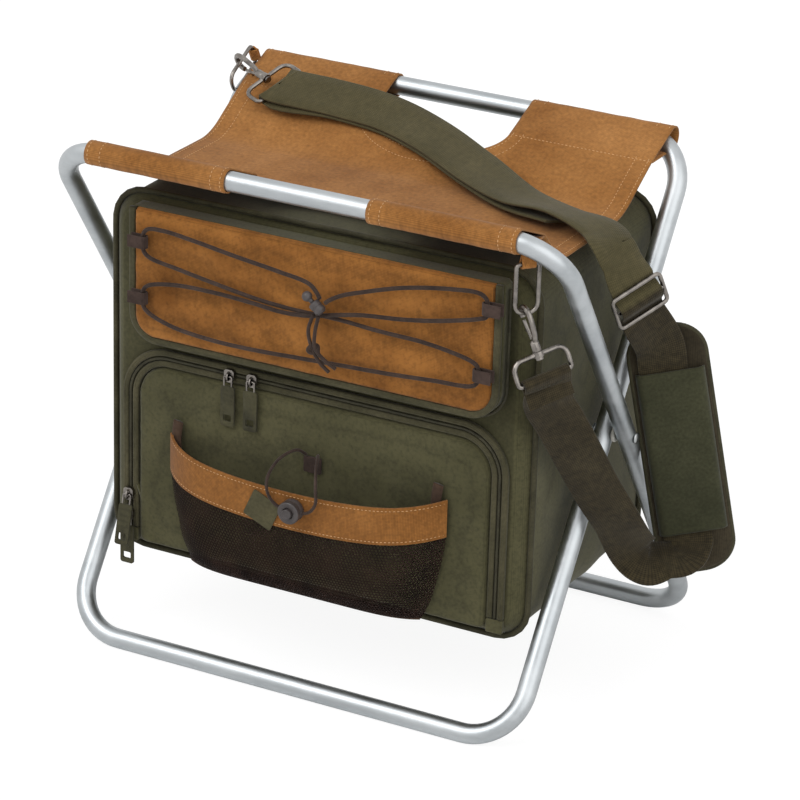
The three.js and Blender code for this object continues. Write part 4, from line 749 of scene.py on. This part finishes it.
def padded_panel(middle, half_w, half_h, low_radius, high_radius, back, out_at, columns, rows):
    """An upright panel with a flat back and a front that out_at(x, z, edge) shapes, in millimetres."""
    bm = bmesh.new()
    bm.loops.layers.uv.new("UVMap")
    bmesh.ops.create_grid(bm, x_segments=columns, y_segments=rows, size=1, calc_uvs=True)
    for v in bm.verts:
        x, z = in_rounded(v.co.x, v.co.y, half_w, half_h, low_radius, high_radius)
        edge = edge_distance(x, z, half_w, half_h, low_radius, high_radius)
        v.co = Vector((middle[0] + x, -out_at(middle[0] + x, middle[1] + z, edge), middle[1] + z)) * MM
    rim = [e for e in bm.edges if e.is_boundary]
    made = bmesh.ops.extrude_edge_only(bm, edges=rim)["geom"]
    for v in (g for g in made if isinstance(g, bmesh.types.BMVert)):
        v.co.y = -back * MM
    bmesh.ops.contextual_create(bm, geom=[g for g in made if isinstance(g, bmesh.types.BMEdge)])
    bmesh.ops.recalc_face_normals(bm, faces=bm.faces)
    uv = bm.loops.layers.uv.active
    for face in bm.faces:
        for loop in face.loops:
            loop[uv].uv = (loop.vert.co.x, loop.vert.co.z)
    return bm


def rolled(edge, radius, height):
    """The rise of a rolled edge."""
    share = min(max(edge, 0) / radius, 1)
    return height * math.sqrt(1 - (1 - share) ** 2)


def flap_out(x, z, edge):
    dome = min(1.0, max(0.0, edge / 45)) ** 0.7
    puckers = math.exp(-edge / 14) * ripple(x / 7, 2.2, z / 7)
    folds = ripple(x / 55, 4.4, z / 34) + 0.5 * ripple(x / 24 + z / 40, 1.1, z / 18)
    return FLAP_BACK + rolled(edge, 3.5, 4.6) + 1.9 * dome + 0.7 * puckers + 1.0 * dome * folds


flap_middle = (0, (FLAP_TOP + FLAP_LOW) / 2)
flap_half = (FLAP_TOP - FLAP_LOW) / 2
flap = padded_panel(flap_middle, FLAP_HALF, flap_half, 8, 28, FLAP_BACK, flap_out, 170, 90)
piece("flap_cover", flap, olive_cloth, "lower_flap", crease=60)


def zip_path(grow, out, foot=97, steps=14):
    upper = [p for p in flap_outline(grow, steps) if p[1] > flap_middle[1]]
    run = [(FLAP_HALF + grow, foot)] + upper + [(-FLAP_HALF - grow, foot)]
    return [(x, -out, z) for x, z in run]


WELT_OUT = FLAP_BACK + 2.25
FORWARD = (0, -1, 0)
COIL_PITCH = 1.9
welt_half = ((-1, -0.8), (-0.2, -1), (0.7, -0.85), (1, -0.3))
welt_shape = (*welt_half, (0.82, 0), *((a, -b) for a, b in reversed(welt_half)))
welt_section = [(a * 2.25, b * 2.8) for a, b in welt_shape]
for which, grow in (("inner", 3.4), ("outer", 12.6)):
    path = even(zip_path(grow, WELT_OUT), 220, closed=False)
    tape = swept(path, welt_section, side=FORWARD)
    piece(which + "_zip_tape", tape, olive_trim, f"zip_{which}_welt", bevel=0.2)
coil_dark = fabric("zip_coil_nylon", "2e2c22", "4a4737", 900, bump=0.2, size=50, roughness=0.5, sheen=0)
path = even(zip_path(8, FLAP_BACK + 3.2), 900, closed=False)
bm = swept(path, circle(1.25, 8), side=FORWARD)
for v in bm.verts:
    along = v.co.x + v.co.z
    v.co.y -= 0.00022 * math.sin(along / MM * 2 * math.pi / COIL_PITCH)
piece("zip_teeth", bm, coil_dark, "zip_coil")


def refined(node):
    """A copy of a CAD node's mesh with its corners merged and its triangles joined to quads."""
    bm = bmesh.new()
    bm.from_mesh(frame["nodes"][node].data)
    bmesh.ops.remove_doubles(bm, verts=bm.verts, dist=2e-5)
    bmesh.ops.join_triangles(bm, faces=bm.faces, angle_face_threshold=0.1, angle_shape_threshold=3)
    bmesh.ops.dissolve_limit(bm, angle_limit=0.01, verts=bm.verts, edges=bm.edges)
    return bm


def dressed(name, node, material, bevel, crease):
    """A CAD piece whose shape is kept, with softened edges."""
    piece(name, refined(node), material, node, bevel=bevel, crease=crease)


for side in ("left", "right"):
    dressed("zip_end_tab_" + side, "zip_end_" + side, olive_cloth, 0.8, 50)

nickel = metal("gunmetal_plate", "6f6a66", "99938c", 0.3, 120)
pull_cloth = fabric(
    "pull_webbing", "2f2d20", "46432f", 900, coords="Object", bump=0.4, size=40, roughness=0.7
)
PULL_OUT = 121.738
zip_places = (
    ("top_left", -74, 254, 0), ("top_right", -53, 254, 0), ("side_upper", -169.5, 127, 13),
    ("side_lower", -169.5, 108, 0),
)
for where, x, z, tilt in zip_places:
    dressed("slider_" + where, "zip_slider_" + where, nickel, 0.22, 55)
    tab = bmesh.new()
    loops = []
    for half, low, high, radius in ((6.25, -43.2, -8.2, 1.6), (3.75, -39.2, -33.2, 1.2)):
        spots = even(rounded_outline(-half, half, low, high, radius, radius, 5), 48)
        verts = [tab.verts.new((p.x * MM, 0, p.y * MM)) for p in spots]
        loops += [tab.edges.new((verts[i], verts[(i + 1) % 48])) for i in range(48)]
    bmesh.ops.bridge_loops(tab, edges=loops)
    bmesh.ops.recalc_face_normals(tab, faces=tab.faces)
    hang = Matrix.Translation(Vector((x, -PULL_OUT, z)) * MM) @ Matrix.Rotation(-math.radians(tilt), 4, "X")
    tab.transform(hang)
    piece("pull_tab_" + where, tab, pull_cloth, "zip_pull_" + where, wall=(1.8, 0), bevel=0.4)
    wire = [(x, 0, z) for x, z in rounded_outline(-3.5, 3.5, -9, 0, 1.2, 1.2, 5)]
    link = swept(wire, circle(0.8, 10), side=FORWARD, closed=True)
    link.transform(hang)
    piece("pull_link_" + where, link, nickel, "zip_pull_" + where, stands_in=False)

# Upper pocket
# A shallow pocket with a zipped gusset. Its flap is a tan canvas panel in a thick bound edge, full and a
# little slack, sewn along its top edge.
POCKET_HALF = 167
POCKET_X = 5
POCKET_LOW = 271
POCKET_TOP = 385.8


def pocket_outline(inset, top=POCKET_TOP, steps=10):
    radius = max(26 - inset, 2.2)
    half = POCKET_HALF - inset
    return rounded_outline(POCKET_X - half, POCKET_X + half, POCKET_LOW + inset, top, radius, 2.2, steps)


def pocket_ring(inset, out, top=POCKET_TOP):
    return [Vector((p.x, -out, p.y)) * MM for p in even(pocket_outline(inset, top), 220)]


levels = ((2.0, 112.4), (0.3, 112.6), (0, 115), (0.5, 119), (0, 123), (0.4, 126), (2.0, 126.2))
gusset = lofted([pocket_ring(inset, out) for inset, out in levels], capped=False)
piece("pocket_side_band", gusset, olive_cloth, "pocket_gusset", wall=(1.2, -1))


def pocket_path(inset, out, top, count):
    lower = [p for p in pocket_outline(inset, steps=12) if p[1] < 328]
    half = len(lower) // 2
    reach = POCKET_HALF - inset
    run = [(POCKET_X - reach, top)] + lower[half:] + lower[:half] + [(POCKET_X + reach, top)]
    return even([Vector((x, -out, z)) for x, z in run], count, closed=False)


teeth = swept(pocket_path(-1.9, 119.3, 379.8, 300), circle(1.25, 8), side=FORWARD)
piece("pocket_zip_teeth", teeth, coil_dark, "pocket_zip")
bound_section = [
    (2.3 * math.copysign(abs(a) ** 0.6, a), 3 * math.copysign(abs(b) ** 0.6, b)) for a, b in circle(1, 20)
]
bound_edge = swept(pocket_path(3, 128.9, 385.5, 240), bound_section, side=FORWARD)
piece("pocket_bound_edge", bound_edge, olive_trim, "pocket_binding")

panel_cloth = fabric("tan_panel", "6a4117", "99652f", 800, size=14, coords="Object", bump=0.4)
PANEL_LOW, PANEL_HIGH = 276.3, 385.5
PANEL_BACK = 126.6
panel_half_w = POCKET_HALF - 5.3
panel_half_h = (PANEL_HIGH - PANEL_LOW) / 2


def panel_out(x, z, edge):
    full = min(1.0, max(0.0, edge / 26)) ** 0.6
    drag = ripple(x / 70, 0.4, z / 16) + 0.6 * ripple(x / 30 + z / 50, 6, z / 22)
    tuck = math.exp(-edge / 9) * ripple(x / 9, 7.2, z / 9)
    return PANEL_BACK + rolled(edge, 2.4, 4.6) + 1.8 * full + 1.1 * full * drag + 0.6 * tuck


panel_middle = (POCKET_X, (PANEL_LOW + PANEL_HIGH) / 2)
panel = padded_panel(panel_middle, panel_half_w, panel_half_h, 19.7, 2.2, PANEL_BACK, panel_out, 170, 70)
piece("pocket_cover", panel, panel_cloth, "pocket_panel", crease=60)

# Elastic lacing
# Braided elastic laced through four webbing tabs on the upper flap and drawn up by a barrel lock
# with a sprung ball. The two ends are knotted below it.
BUNGEE_OUT = 137.84
BUNGEE_OVER = 4
BUNGEE_RADIUS = 1.7
cord_braid = fabric("elastic_braid", "2c211c", "4a3b33", 1400, bump=0.5, size=60, roughness=0.65, sheen=0.1)


def spline(points, count):
    """A smooth curve through points, even in the points' own steps."""
    points = [Vector(p) for p in points]
    n = len(points) - 1
    made = []
    for i in range(count + 1):
        t = n * i / count
        k = min(int(t), n - 1)
        w = t - k
        b, c = points[k], points[k + 1]
        a = points[k - 1] if k else 2 * b - c
        d = points[k + 2] if k + 2 <= n else 2 * c - b
        t0 = max((b - a).length ** 0.5, 1e-4)
        t1 = max((c - b).length ** 0.5, 1e-4)
        t2 = max((d - c).length ** 0.5, 1e-4)
        m1 = ((b - a) / t0 - (c - a) / (t0 + t1) + (c - b) / t1) * t1
        m2 = ((c - b) / t1 - (d - b) / (t1 + t2) + (d - c) / t2) * t1
        start, end = b * (2 * w ** 3 - 3 * w * w + 1), c * (3 * w * w - 2 * w ** 3)
        made.append(start + m1 * (w ** 3 - 2 * w * w + w) + end + m2 * (w ** 3 - w * w))
    return made


lacing = (
    (23.4, 350.6, 2.7), (19.5, 354, 2.1), (10, 358.5, 1.1), (-18, 361.5, 0.3), (-60, 366, 0),
    (-96, 371, 0), (-125, 374, 0), (-140, 372.5, 0), (-144, 367.5, 0), (-144, 354.5, 0),
    (-139.5, 349.5, 0), (-110, 344, 0), (-77, 339, 0), (-40, 334, 0), (-8, 332, 0), (35, 332, 0),
    (70, 330, 0), (108, 329, 0), (134, 326, 0), (152, 322, 0), (157, 318.5, 0), (157, 305.5, 0),
    (152, 301.5, 0), (120, 299, 0), (80, 296, 0), (40, 294, 0), (0, 292, 0), (-40, 290, 0), (-80, 290, 0),
    (-118, 294, 0), (-139.5, 301.5, 0), (-144, 306.5, 0), (-144, 319.5, 0), (-139.5, 324.5, 0),
    (-115, 330, 0), (-77, 331.5, 0.2), (-40, 331, 0.8), (-15, 329.5, 1), (8, 331, 1), (34, 337, 1),
    (56, 341, 0.6), (90, 344, 0.1), (120, 349, 0), (157, 358.5, 0), (163, 361.5, 0), (163, 374.5, 0),
    (157.5, 379, 0), (134, 378, 0), (90, 370, 0), (58, 360.5, 0.3), (40, 355, 1.3), (31, 350.5, 2.4),
    (28, 347.8, 2.7),
)
path = spline([(x, -(BUNGEE_OUT + BUNGEE_OVER * over), z) for x, z, over in lacing], 420)
lace = piece("elastic_lace", swept(path, circle(BUNGEE_RADIUS, 12)), cord_braid, "bungee_cord")


tab_webbing = fabric("tab_webbing", "2d221d", "453731", 900, coords="Object", bump=0.4, size=40)
for where in ("upper_left", "lower_left", "upper_right", "lower_right"):
    dressed("lace_tab_" + where, "bungee_tab_" + where, tab_webbing, 0.3, 50)

moulded = plain("dark_moulding", "332d2c", "4d4746", 90, 0.42)
tree = moulded.node_tree
place = add_node(tree, "TexCoord").outputs["Object"]
fine = add_node(tree, "TexNoise", {"Scale": 2500, "Vector": place})
raised(tree, tree.nodes["Principled BSDF"], fine.outputs["Fac"], 0.15, 0.0001)
LOCK_OUT = 148.887
LOCK_AT = (22, -LOCK_OUT, 343)
LOCK_WAY = (0.7828, 0, -0.6222)
barrel = [
    (0, 2.2), (2.3, 2.2), (2.3, -5.5), (3.9, -5.5), (4.8, -4.6), (4.9, -1), (4.5, -0.6), (4.5, 0.6), (4.9, 1),
    (4.8, 3.7), (3.3, 5.5), (0, 5.5),
]
piece("lock_barrel", turned(barrel, LOCK_AT, LOCK_WAY), moulded, "bungee_lock", bevel=0.2)
ball = [(0, -16.5)]
for k in range(1, 11):
    a = math.pi * (k / 12 - 0.5)
    ball.append((4.2 * math.cos(a), -12.3 + 4.2 * math.sin(a)))
ball += [(2, -8.4), (2, -0.7), (0, -0.7)]
piece("lock_ball", turned(ball, LOCK_AT, LOCK_WAY), moulded, "bungee_plunger")

tail = bmesh.new()
for way in (-1, 1):
    strand = (
        (20.6 + way * 2.4, 0, 336.65), (17 + way * 3, 0, 322), (19 + way * 1.4, 0, 308),
        (27 + way * 3, 2, 297 + way), (34 + way * 3, 4, 291 + 2 * way),
    )
    add_to(tail, swept(spline([(x, y - LOCK_OUT, z) for x, y, z in strand], 30), circle(1.5, 10)))
knot = []
for k in range(40):
    a = 2 * math.pi * k / 40
    knot.append((19 + 3.6 * math.cos(a), -LOCK_OUT + 2.4 * math.sin(a * 1.5), 307 + 3.4 * math.sin(a)))
add_to(tail, swept(knot, circle(BUNGEE_RADIUS, 10), closed=True))
piece("lace_ends", tail, cord_braid, "bungee_tail")

# Mesh pocket
# Open net sewn to the lower flap below a stiff canvas band that bows forward. A cord loop with
# a round toggle holds it, and a plain cloth tag hangs beside the toggle.
NET_BACK = 121.4
NET_HALF = 127
NET_DEPTH = 28
BAND_RISE = 16


def bowed(half, depth, back, count, height):
    line = []
    for i in range(count + 1):
        share = math.sin(math.pi * (i / count - 0.5))
        line.append(Vector((half * share, -(back + depth * (1 - share ** 6)), height(share))))
    return line


def band_high(share):
    return 163.5 + 13 * share * share


binding_cloth = fabric("dark_binding", "2e221a", "4a382b", 900, coords="Object", bump=0.4, size=30)
band_cloth = fabric("band_canvas", "75491d", "9c6833", 800, size=14)
line = bowed(NET_HALF, NET_DEPTH, NET_BACK, 90, band_high)
rings = []
for i, p in enumerate(line):
    curl = 0.5 * ripple(p.x / 20, 2, 0)
    curve = [(-curl * math.sin(math.pi * k / 10), BAND_RISE * (k / 5 - 1)) for k in range(11)]
    rings.append([(p + Vector((0, y, z))) * MM for y, z in curve])
band = lofted(rings, around=False)
piece("net_canvas_band", band, band_cloth, "net_band", wall=(1.9, 0), bevel=0.3)
seams = (2.5 - BAND_RISE, BAND_RISE - 2.5)
band_lines = [[p + Vector((0, -1.15, high)) for p in line[3:-3]] for high in seams]
stitched("band_stitches", band_lines, pale_thread, "net_band", thick=0.65)
EAR_OUT = NET_BACK + 1.9
for side, x in (("left", -120), ("right", 119)):
    ear = [
        (x + 1.2 * math.sin(k / 3), -EAR_OUT - 0.8 * math.sin(k / 4), 156 + 49 * k / 20) for k in range(21)
    ]
    bound = swept(ear, [(a * 1.2, b * 4.6) for a, b in circle(1, 24)], side=FORWARD)
    piece("band_end_" + side, bound, binding_cloth, "net_band", stands_in=False)

NET_CELLS = (340, 205, 0)
net_mesh, tree, shader = new_material("open_net")
place = add_node(tree, "TexCoord").outputs["UV"]
scaled = worked(tree, "MULTIPLY", place, NET_CELLS, kind="VectorMath")
holes = []
for shift in (0.0, 0.5):
    moved = worked(tree, "ADD", scaled, (shift, shift, 0), kind="VectorMath")
    cell = worked(tree, "FRACTION", moved, kind="VectorMath")
    centred = worked(tree, "SUBTRACT", cell, (0.5, 0.5, 0), kind="VectorMath")
    squared = worked(tree, "MULTIPLY", centred, (1, 1.75, 0), kind="VectorMath")
    holes.append(add_node(tree, "VectorMath", {0: squared}, operation="LENGTH").outputs["Value"])
hole = worked(tree, "MINIMUM", *holes)
strands = add_node(tree, "MapRange", {"From Min": 0.33, "From Max": 0.4, "Value": hole}).outputs["Result"]
down = add_node(tree, "SeparateXYZ", {0: place}).outputs["Y"]
folded = {"From Min": 0.056, "From Max": 0.074, "To Max": 0.9}
dense = add_node(tree, "MapRange", {**folded, "Value": down}).outputs["Result"]
covered = worked(tree, "MAXIMUM", strands, dense)
net_colour = mottled_colour(tree, place, "170e0b", "31221b", 30)[0]
feed(tree, shader, {
    "Alpha": covered, "Base Color": net_colour, "Roughness": 0.75, "Specular IOR Level": 0.12,
})

net_levels = (
    (0, 1, 0.97), (0.15, 0.99, 1.03), (0.35, 0.97, 1.08), (0.58, 0.94, 1.08), (0.78, 0.91, 1.0),
    (0.95, 0.87, 0.78), (1.05, 0.84, 0.45), (1, 0.82, 0.12),
)
profile = spline(net_levels, 40)
rings = []
for fall, width, bow in profile:
    def net_high(share, fall=fall):
        top = band_high(share) - BAND_RISE - 0.8
        return top + (87 - top) * fall
    line = bowed(NET_HALF * width, NET_DEPTH * bow, NET_BACK, 90, net_high)
    ring = []
    for p in line:
        loose = math.sin(math.pi * min(fall * 1.15, 1)) * min(1, (NET_HALF - abs(p.x)) / 12)
        folds = ripple(p.x / 17, 3, p.z / 34) + 0.5 * ripple(p.x / 9, 8, p.z / 14)
        ring.append((p + Vector((0, -1.6 * loose * folds, 0))) * MM)
    rings.append(ring)
net = lofted(rings, around=False)
net_area = sum(face.calc_area() for face in net.faces)
net_bag = piece("net_bag", net, net_mesh, "net_pocket", wall=(0.5, 0))
lowest = min(rings, key=lambda ring: ring[len(ring) // 2].z)
hem = swept([p / MM for p in lowest], circle(1.3, 10), side=(0, 0, 1))
piece("net_hem", hem, binding_cloth, "net_pocket", stands_in=False)

LOOP_RADIUS = 1.3
hanging = spline((
    (0, -122.7, 203), (-5, -128.7, 208), (-13, -144.4, 204), (-18, -154, 190), (-17, -154, 176),
    (-9, -154, 168), (5, -154, 167), (19, -154, 168), (26, -154, 177), (26, -154, 190), (21, -144.4, 203),
    (14, -128.7, 207), (10, -122.7, 203),
), 120)
toggle_cord = piece("toggle_cord", swept(hanging, circle(LOOP_RADIUS, 10)), cord_braid, "net_cord")
dressed("cord_patch", "cord_anchor", tab_webbing, 0.5, 50)
TOGGLE_AT = (5, -150.7, 167)
body = [
    (0, 0), (8.6, 0), (9.5, 0.9), (9.5, 4.6), (9.1, 5.4), (9.5, 6.2), (9.5, 10.1), (8.6, 11), (4.75, 11),
    (4.75, 5.3), (0, 5.3),
]
piece("toggle_body", turned(body, TOGGLE_AT, FORWARD, 56), moulded, "cord_toggle", bevel=0.25)
button = [(0, 8.1), (4.3, 8.1), (4.3, 13.2), (3.7, 13.8), (3.2, 13.5), (0, 13.5)]
piece("toggle_button", turned(button, TOGGLE_AT, FORWARD), moulded, "toggle_plunger", bevel=0.15)
tag_cloth = fabric("tag_cloth", "3d3a28", "544f38", 900, coords="Object", bump=0.4, size=30)
dressed("side_tag", "cloth_tag", tag_cloth, 0.3, 50)

# Shoulder strap
# Ribbed webbing that runs from the back ring over the seat, through a wire slider and down outside the
# right legs, turns below a foam pad and rises to the front ring. Each end is folded round an eye and sewn.
STRAP_WIDTH = 40
STRAP_THICK = 2
STRAP_BEND = ((0.15, 0.0, 0.40), (-0.12, 0.09, 0.42))
LAYER = STRAP_THICK + 0.6


def heading(degrees):
    return Vector((math.cos(math.radians(degrees)), math.sin(math.radians(degrees)), 0))


strap_side = heading(65.2)
strap_face = Vector((strap_side.y, -strap_side.x, 0))


def from_shares(sideways, outward, height):
    level = strap_side * (sideways * OUTER_HALF) + strap_face * (outward * OUTER_HALF)
    return level + Vector((0, 0, height * RAIL_HIGH))


def plane_of(sideways, lean):
    up = (Vector((0, 0, 1)) - sideways * lean).normalized()
    side = (sideways - up * sideways.dot(up)).normalized()
    return side, up, side.cross(up).normalized()


buckle_at = from_shares(0.354, 1.011, 0.82)
buckle_side, buckle_up, buckle_face = plane_of(heading(58), 0.42)
WEBBING_OFF = STRAP_THICK / 2 + 0.6
BAR_RADIUS = 1.7
BAR_PITCH = 15 - BAR_RADIUS
EYE_RADIUS = 1.8
OCTAGON = math.cos(math.pi / 8)
WEAVE_OFF = BAR_RADIUS / OCTAGON + WEBBING_OFF
FOLD_REACH = EYE_RADIUS / OCTAGON + WEBBING_OFF
PAD_LONG = 218
PAD_HALF = 31.5
SLEEVE_LONG = 143
SLEEVE_HALF = 27.5
ASIDE = SLEEVE_HALF - STRAP_WIDTH / 2 - 2.4
pad_foot = from_shares(0.651, 1.087, 0.246)
pad_side, pad_up, pad_face = plane_of(heading(28), math.tan(math.radians(11)))


def at_buckle(high, off):
    return buckle_at + buckle_up * high + buckle_face * (off * WEAVE_OFF)


def at_pad(across, high, off=0.0):
    return pad_foot + pad_side * across + pad_up * high + pad_face * off


def chain(eye, down, across):
    eye, down, across = Vector(eye), Vector(down).normalized(), Vector(across).normalized()
    return eye, down, across, across.cross(down)


front_eye, front_down, front_across, front_in = chain(
    (213.2149, -133.6, 320.5965), (0.3782, 0, -0.9257), (0.5679, 0.7897, 0.232)
)
back_eye, back_down, back_across, back_in = chain(
    (-148.1326, 87.6794, 427.0303), (0.9226, -0.341, -0.1805), (0.3857, 0.8267, 0.4097)
)


def fold_round(bar, away, inward):
    spots = [bar + away * (2.5 * FOLD_REACH) + inward * (0.85 * FOLD_REACH)]
    for i in range(7):
        a = math.pi * (0.4 + 1.2 * i / 6)
        spots.append(bar + away * (FOLD_REACH * math.cos(a)) + inward * (FOLD_REACH * math.sin(a)))
    return spots


stops = [(front_eye + front_down * (STRAP_WIDTH / 2) + front_in * LAYER, -front_across)]
stops += [(p, -front_across) for p in fold_round(front_eye, front_down, front_in)]
for sideways, outward, height, turn in (
    (-0.084, 1.064, 0.682, 44), (-0.027, 1.055, 0.64, 38), (0.067, 1.056, 0.559, 33),
    (0.164, 1.055, 0.476, 30), (0.262, 1.059, 0.399, 28),
):
    stops.append((from_shares(sideways, outward, height), -heading(turn)))
for across, high, off, sideways, upward, outward in (
    (-1.225, 0.975, 0.675, -1, -0.05, 0.3), (-1.025, 0.725, 0.6, -0.8, -0.2, 0.6),
    (-0.7, 0.625, 0.475, -0.2, -0.35, 0.9), (-0.325, 0.61, 0.415, 0.7, -0.25, 0.5),
    (-0.15, 0.74, 0.115, 1, 0, 0.12),
):
    edge_way = (pad_side * sideways + pad_up * upward + pad_face * outward).normalized()
    stops.append((at_pad(STRAP_WIDTH * across, STRAP_WIDTH * high, STRAP_WIDTH * off), edge_way))
stops += [(at_pad(-ASIDE, share * PAD_LONG), pad_side) for share in (0.165, 0.2, 0.27, 0.45, 0.65, 0.8, 0.85)]
stops.append((at_pad(-ASIDE, 0.94 * PAD_LONG, 0.12 * STRAP_WIDTH), pad_side.lerp(buckle_side, 0.35)))
weave = (
    (-BAR_PITCH - 4, -1), (-BAR_PITCH + 2.5, -1), (-2.5, 1), (2.5, 1), (BAR_PITCH - 2.5, -1),
    (BAR_PITCH + 4, -1),
)
stops += [(at_buckle(high, off), buckle_side) for high, off in weave]
slider_stop = len(stops) - 3
for sideways, outward, height, turn in (
    (0.321, 0.943, 0.888, 62), (0.302, 0.908, 0.918, 64), (0.32, 0.832, 0.932, 65.2),
):
    stops.append((from_shares(sideways, outward, height), heading(turn)))
over_seat, below = [], []
for sideways, outward, height, lean, rise in (
    (0.29, 0.66, 0.931, -0.2, 0.012), (0.28, 0.42, 0.931, 0.02, 0.005), (0.3, 0.15, 0.948, 0.3, 0),
    (0.31, -0.12, 0.968, 0.36, 0), (0.28, -0.35, 0.983, 0.42, 0), (0.19, -0.54, 0.994, 0.45, 0),
):
    place, side = from_shares(sideways, outward, height), (strap_side + Vector((0, 0, lean))).normalized()
    over_seat.append((place + Vector((0, 0, rise * RAIL_HIGH)), side))
    below.append((place - Vector((0, 0, 1.15 * LAYER)), side))
stops += over_seat
stops += [(p, back_across) for p in reversed(fold_round(back_eye, back_down, back_in))]
stops += reversed(below)
count = 8 * (len(stops) - 1)
path = spline([p for p, _ in stops], count)
sides = spline([side for _, side in stops], count)
strap_webbing = fabric(
    "ribbed_webbing", "2c2516", "423a27", 600, bump=0.8, size=20, roughness=0.8, depth=0.0004, grain=0.75
)
# The webbing past the slider, over the seat, has a lighter colour added: painted light on the upper strap,
# which lies in the light, while the part hanging below stays darker.
tree = strap_webbing.node_tree
base = tree.nodes["Principled BSDF"].inputs["Base Color"]
dyed = base.links[0].from_socket
painted_light_share = add_node(tree, "Attribute", attribute_name="painted_light_side").outputs["Fac"]
# The painted light: a pale olive added to the dyed colour.
painted_lit_colour = add_node(
    tree, "Mix", {"Factor": 1, "A": dyed, "B": linear("3a3723")}, data_type="RGBA", blend_type="ADD"
).outputs["Result"]
painted_light_mix = add_node(tree, "Mix", {"Factor": painted_light_share, "A": dyed, "B": painted_lit_colour}, data_type="RGBA")
tree.links.new(painted_light_mix.outputs["Result"], base)
under = ((-1, -0.5), (-0.97, -1), (-0.5, -1), (0, -1), (0.5, -1), (0.97, -1), (1, -0.5))
strap_section = [(a * STRAP_WIDTH / 2, b) for a, b in under]
strap_section += [(-a, -b) for a, b in strap_section]
strap_mesh = swept(path, strap_section, side=sides)
above = strap_mesh.verts.layers.float.new("painted_light_side")
# Rings past the slider get the painted light, fading in over four rings.
for i, v in enumerate(strap_mesh.verts):
    v[above] = min(1, max(0, (i // len(strap_section) - 8 * slider_stop) / 4 + 0.5))
strap_piece = piece("webbing_strap", strap_mesh, strap_webbing, "shoulder_strap", crease=60, bends=STRAP_BEND)

pad_cloth = fabric("pad_cloth", "2b2519", "3f382a", 1100, coords="Object", bump=0.3, size=14)
PAD_OFF = -5.2
pad = bmesh.new()
for facing in (1, -1):
    apart = Matrix.Translation((0, 0, facing * 3))
    bmesh.ops.create_grid(pad, x_segments=36, y_segments=100, size=1, matrix=apart)
for v in pad.verts:
    facing = 1 if v.co.z > 0 else -1
    x, z = in_rounded(v.co.x, v.co.y, PAD_HALF, PAD_LONG / 2, 26, 26)
    edge = edge_distance(x, z, PAD_HALF, PAD_LONG / 2, 26, 26)
    soft = 0.25 * ripple(x / 12, z / 12, facing)
    rise = 0.4 * min(1, edge / 1.5) + rolled(edge, 9, 2.5) + (soft if edge > 3 else 0)
    v.co = at_pad(x, PAD_LONG / 2 + z, PAD_OFF + facing * (rise if edge > 0.01 else 0)) * MM
bmesh.ops.remove_doubles(pad, verts=pad.verts, dist=1e-5)
bmesh.ops.recalc_face_normals(pad, faces=pad.faces)
pad_piece = piece("foam_pad", pad, pad_cloth, "shoulder_pad")
rim_outline = rounded_outline(1 - PAD_HALF, PAD_HALF - 1, 1 - PAD_LONG / 2, PAD_LONG / 2 - 1, 25, 25)
rim = [at_pad(p.x, PAD_LONG / 2 + p.y, PAD_OFF) for p in even(rim_outline, 160)]
rim_section = [(a * 1.7, b * 2.4) for a, b in circle(1, 12)]
binding = swept(rim, rim_section, side=pad_side.cross(pad_up), closed=True)
piece("pad_binding", binding, corded, "shoulder_pad", stands_in=False)

sleeve_rings = []
for j in range(61):
    high = (PAD_LONG - SLEEVE_LONG) / 2 + SLEEVE_LONG * j / 60
    ring = []
    for k in range(25):
        across = SLEEVE_HALF * (k / 12 - 1)
        rise = min(1, (SLEEVE_HALF - abs(across)) / 4.5)
        puff = 0.35 * ripple(across / 14, high / 18, 1) * rise
        ring.append(at_pad(across, high, -1.0 + 3.2 * math.sin(rise * math.pi / 2) + puff) * MM)
    sleeve_rings.append(ring)
sleeve_cloth = fabric("sleeve_cloth", "2f301f", "4a4a35", 1100, bump=0.2, size=9)
pad_panel = lofted(sleeve_rings, around=False)
piece("pad_panel", pad_panel, sleeve_cloth, "pad_sleeve", wall=(1.2, 0))
dark_thread = plain("dark_thread", "2b291b", "3c3a2a", 120, 0.7)
sleeve_foot = (PAD_LONG - SLEEVE_LONG) / 2
sleeve_highs = [sleeve_foot + SLEEVE_LONG * k / 60 for k in range(61)]
sleeve_sides = (1.8 - SLEEVE_HALF, SLEEVE_HALF - 1.8)
sleeve_lines = [[at_pad(across, high, 0.55) for high in sleeve_highs] for across in sleeve_sides]
stitched("pad_stitches", sleeve_lines, dark_thread, "pad_sleeve", thick=0.8)
end_lines = []
for i in (66, 69):
    way = (path[i + 1] - path[i - 1]).normalized()
    face = way.cross(sides[i]).normalized()
    face *= math.copysign(1.35, face.dot(strap_face))
    across = sides[i].normalized() * STRAP_WIDTH
    end_lines.append([path[i] + across * (k / 20 - 0.45) + face for k in range(19)])
stitched("strap_stitches", end_lines, dark_thread, "shoulder_strap", thick=0.9, bends=STRAP_BEND)

# Slider, rings and snap hooks
# Bent wire and die-cast parts with a dark nickel plate. Each hook's barrel turns in the boss of its
# webbing eye, its bow closes on a sprung gate, and it hangs from a long ring held by a canvas tab.
dressed("webbing_slider", "strap_slider", nickel, 0.2, 60)
corner_cloth = fabric("corner_canvas", "875625", "b37d45", 900, coords="Object", size=9)
HOOK_PIECES = (
    ("d_ring_", "hang_ring_"), ("snap_hook_", "hook_body_"), ("hook_gate_", "sprung_gate_"),
    ("strap_eye_", "webbing_eye_"),
)
for side in ("front", "back"):
    for node, name in HOOK_PIECES:
        dressed(name + side, node + side, nickel, 0.12, 60)
    dressed("corner_tab_" + side, "strap_tab_" + side, corner_cloth, 0.3, 60)
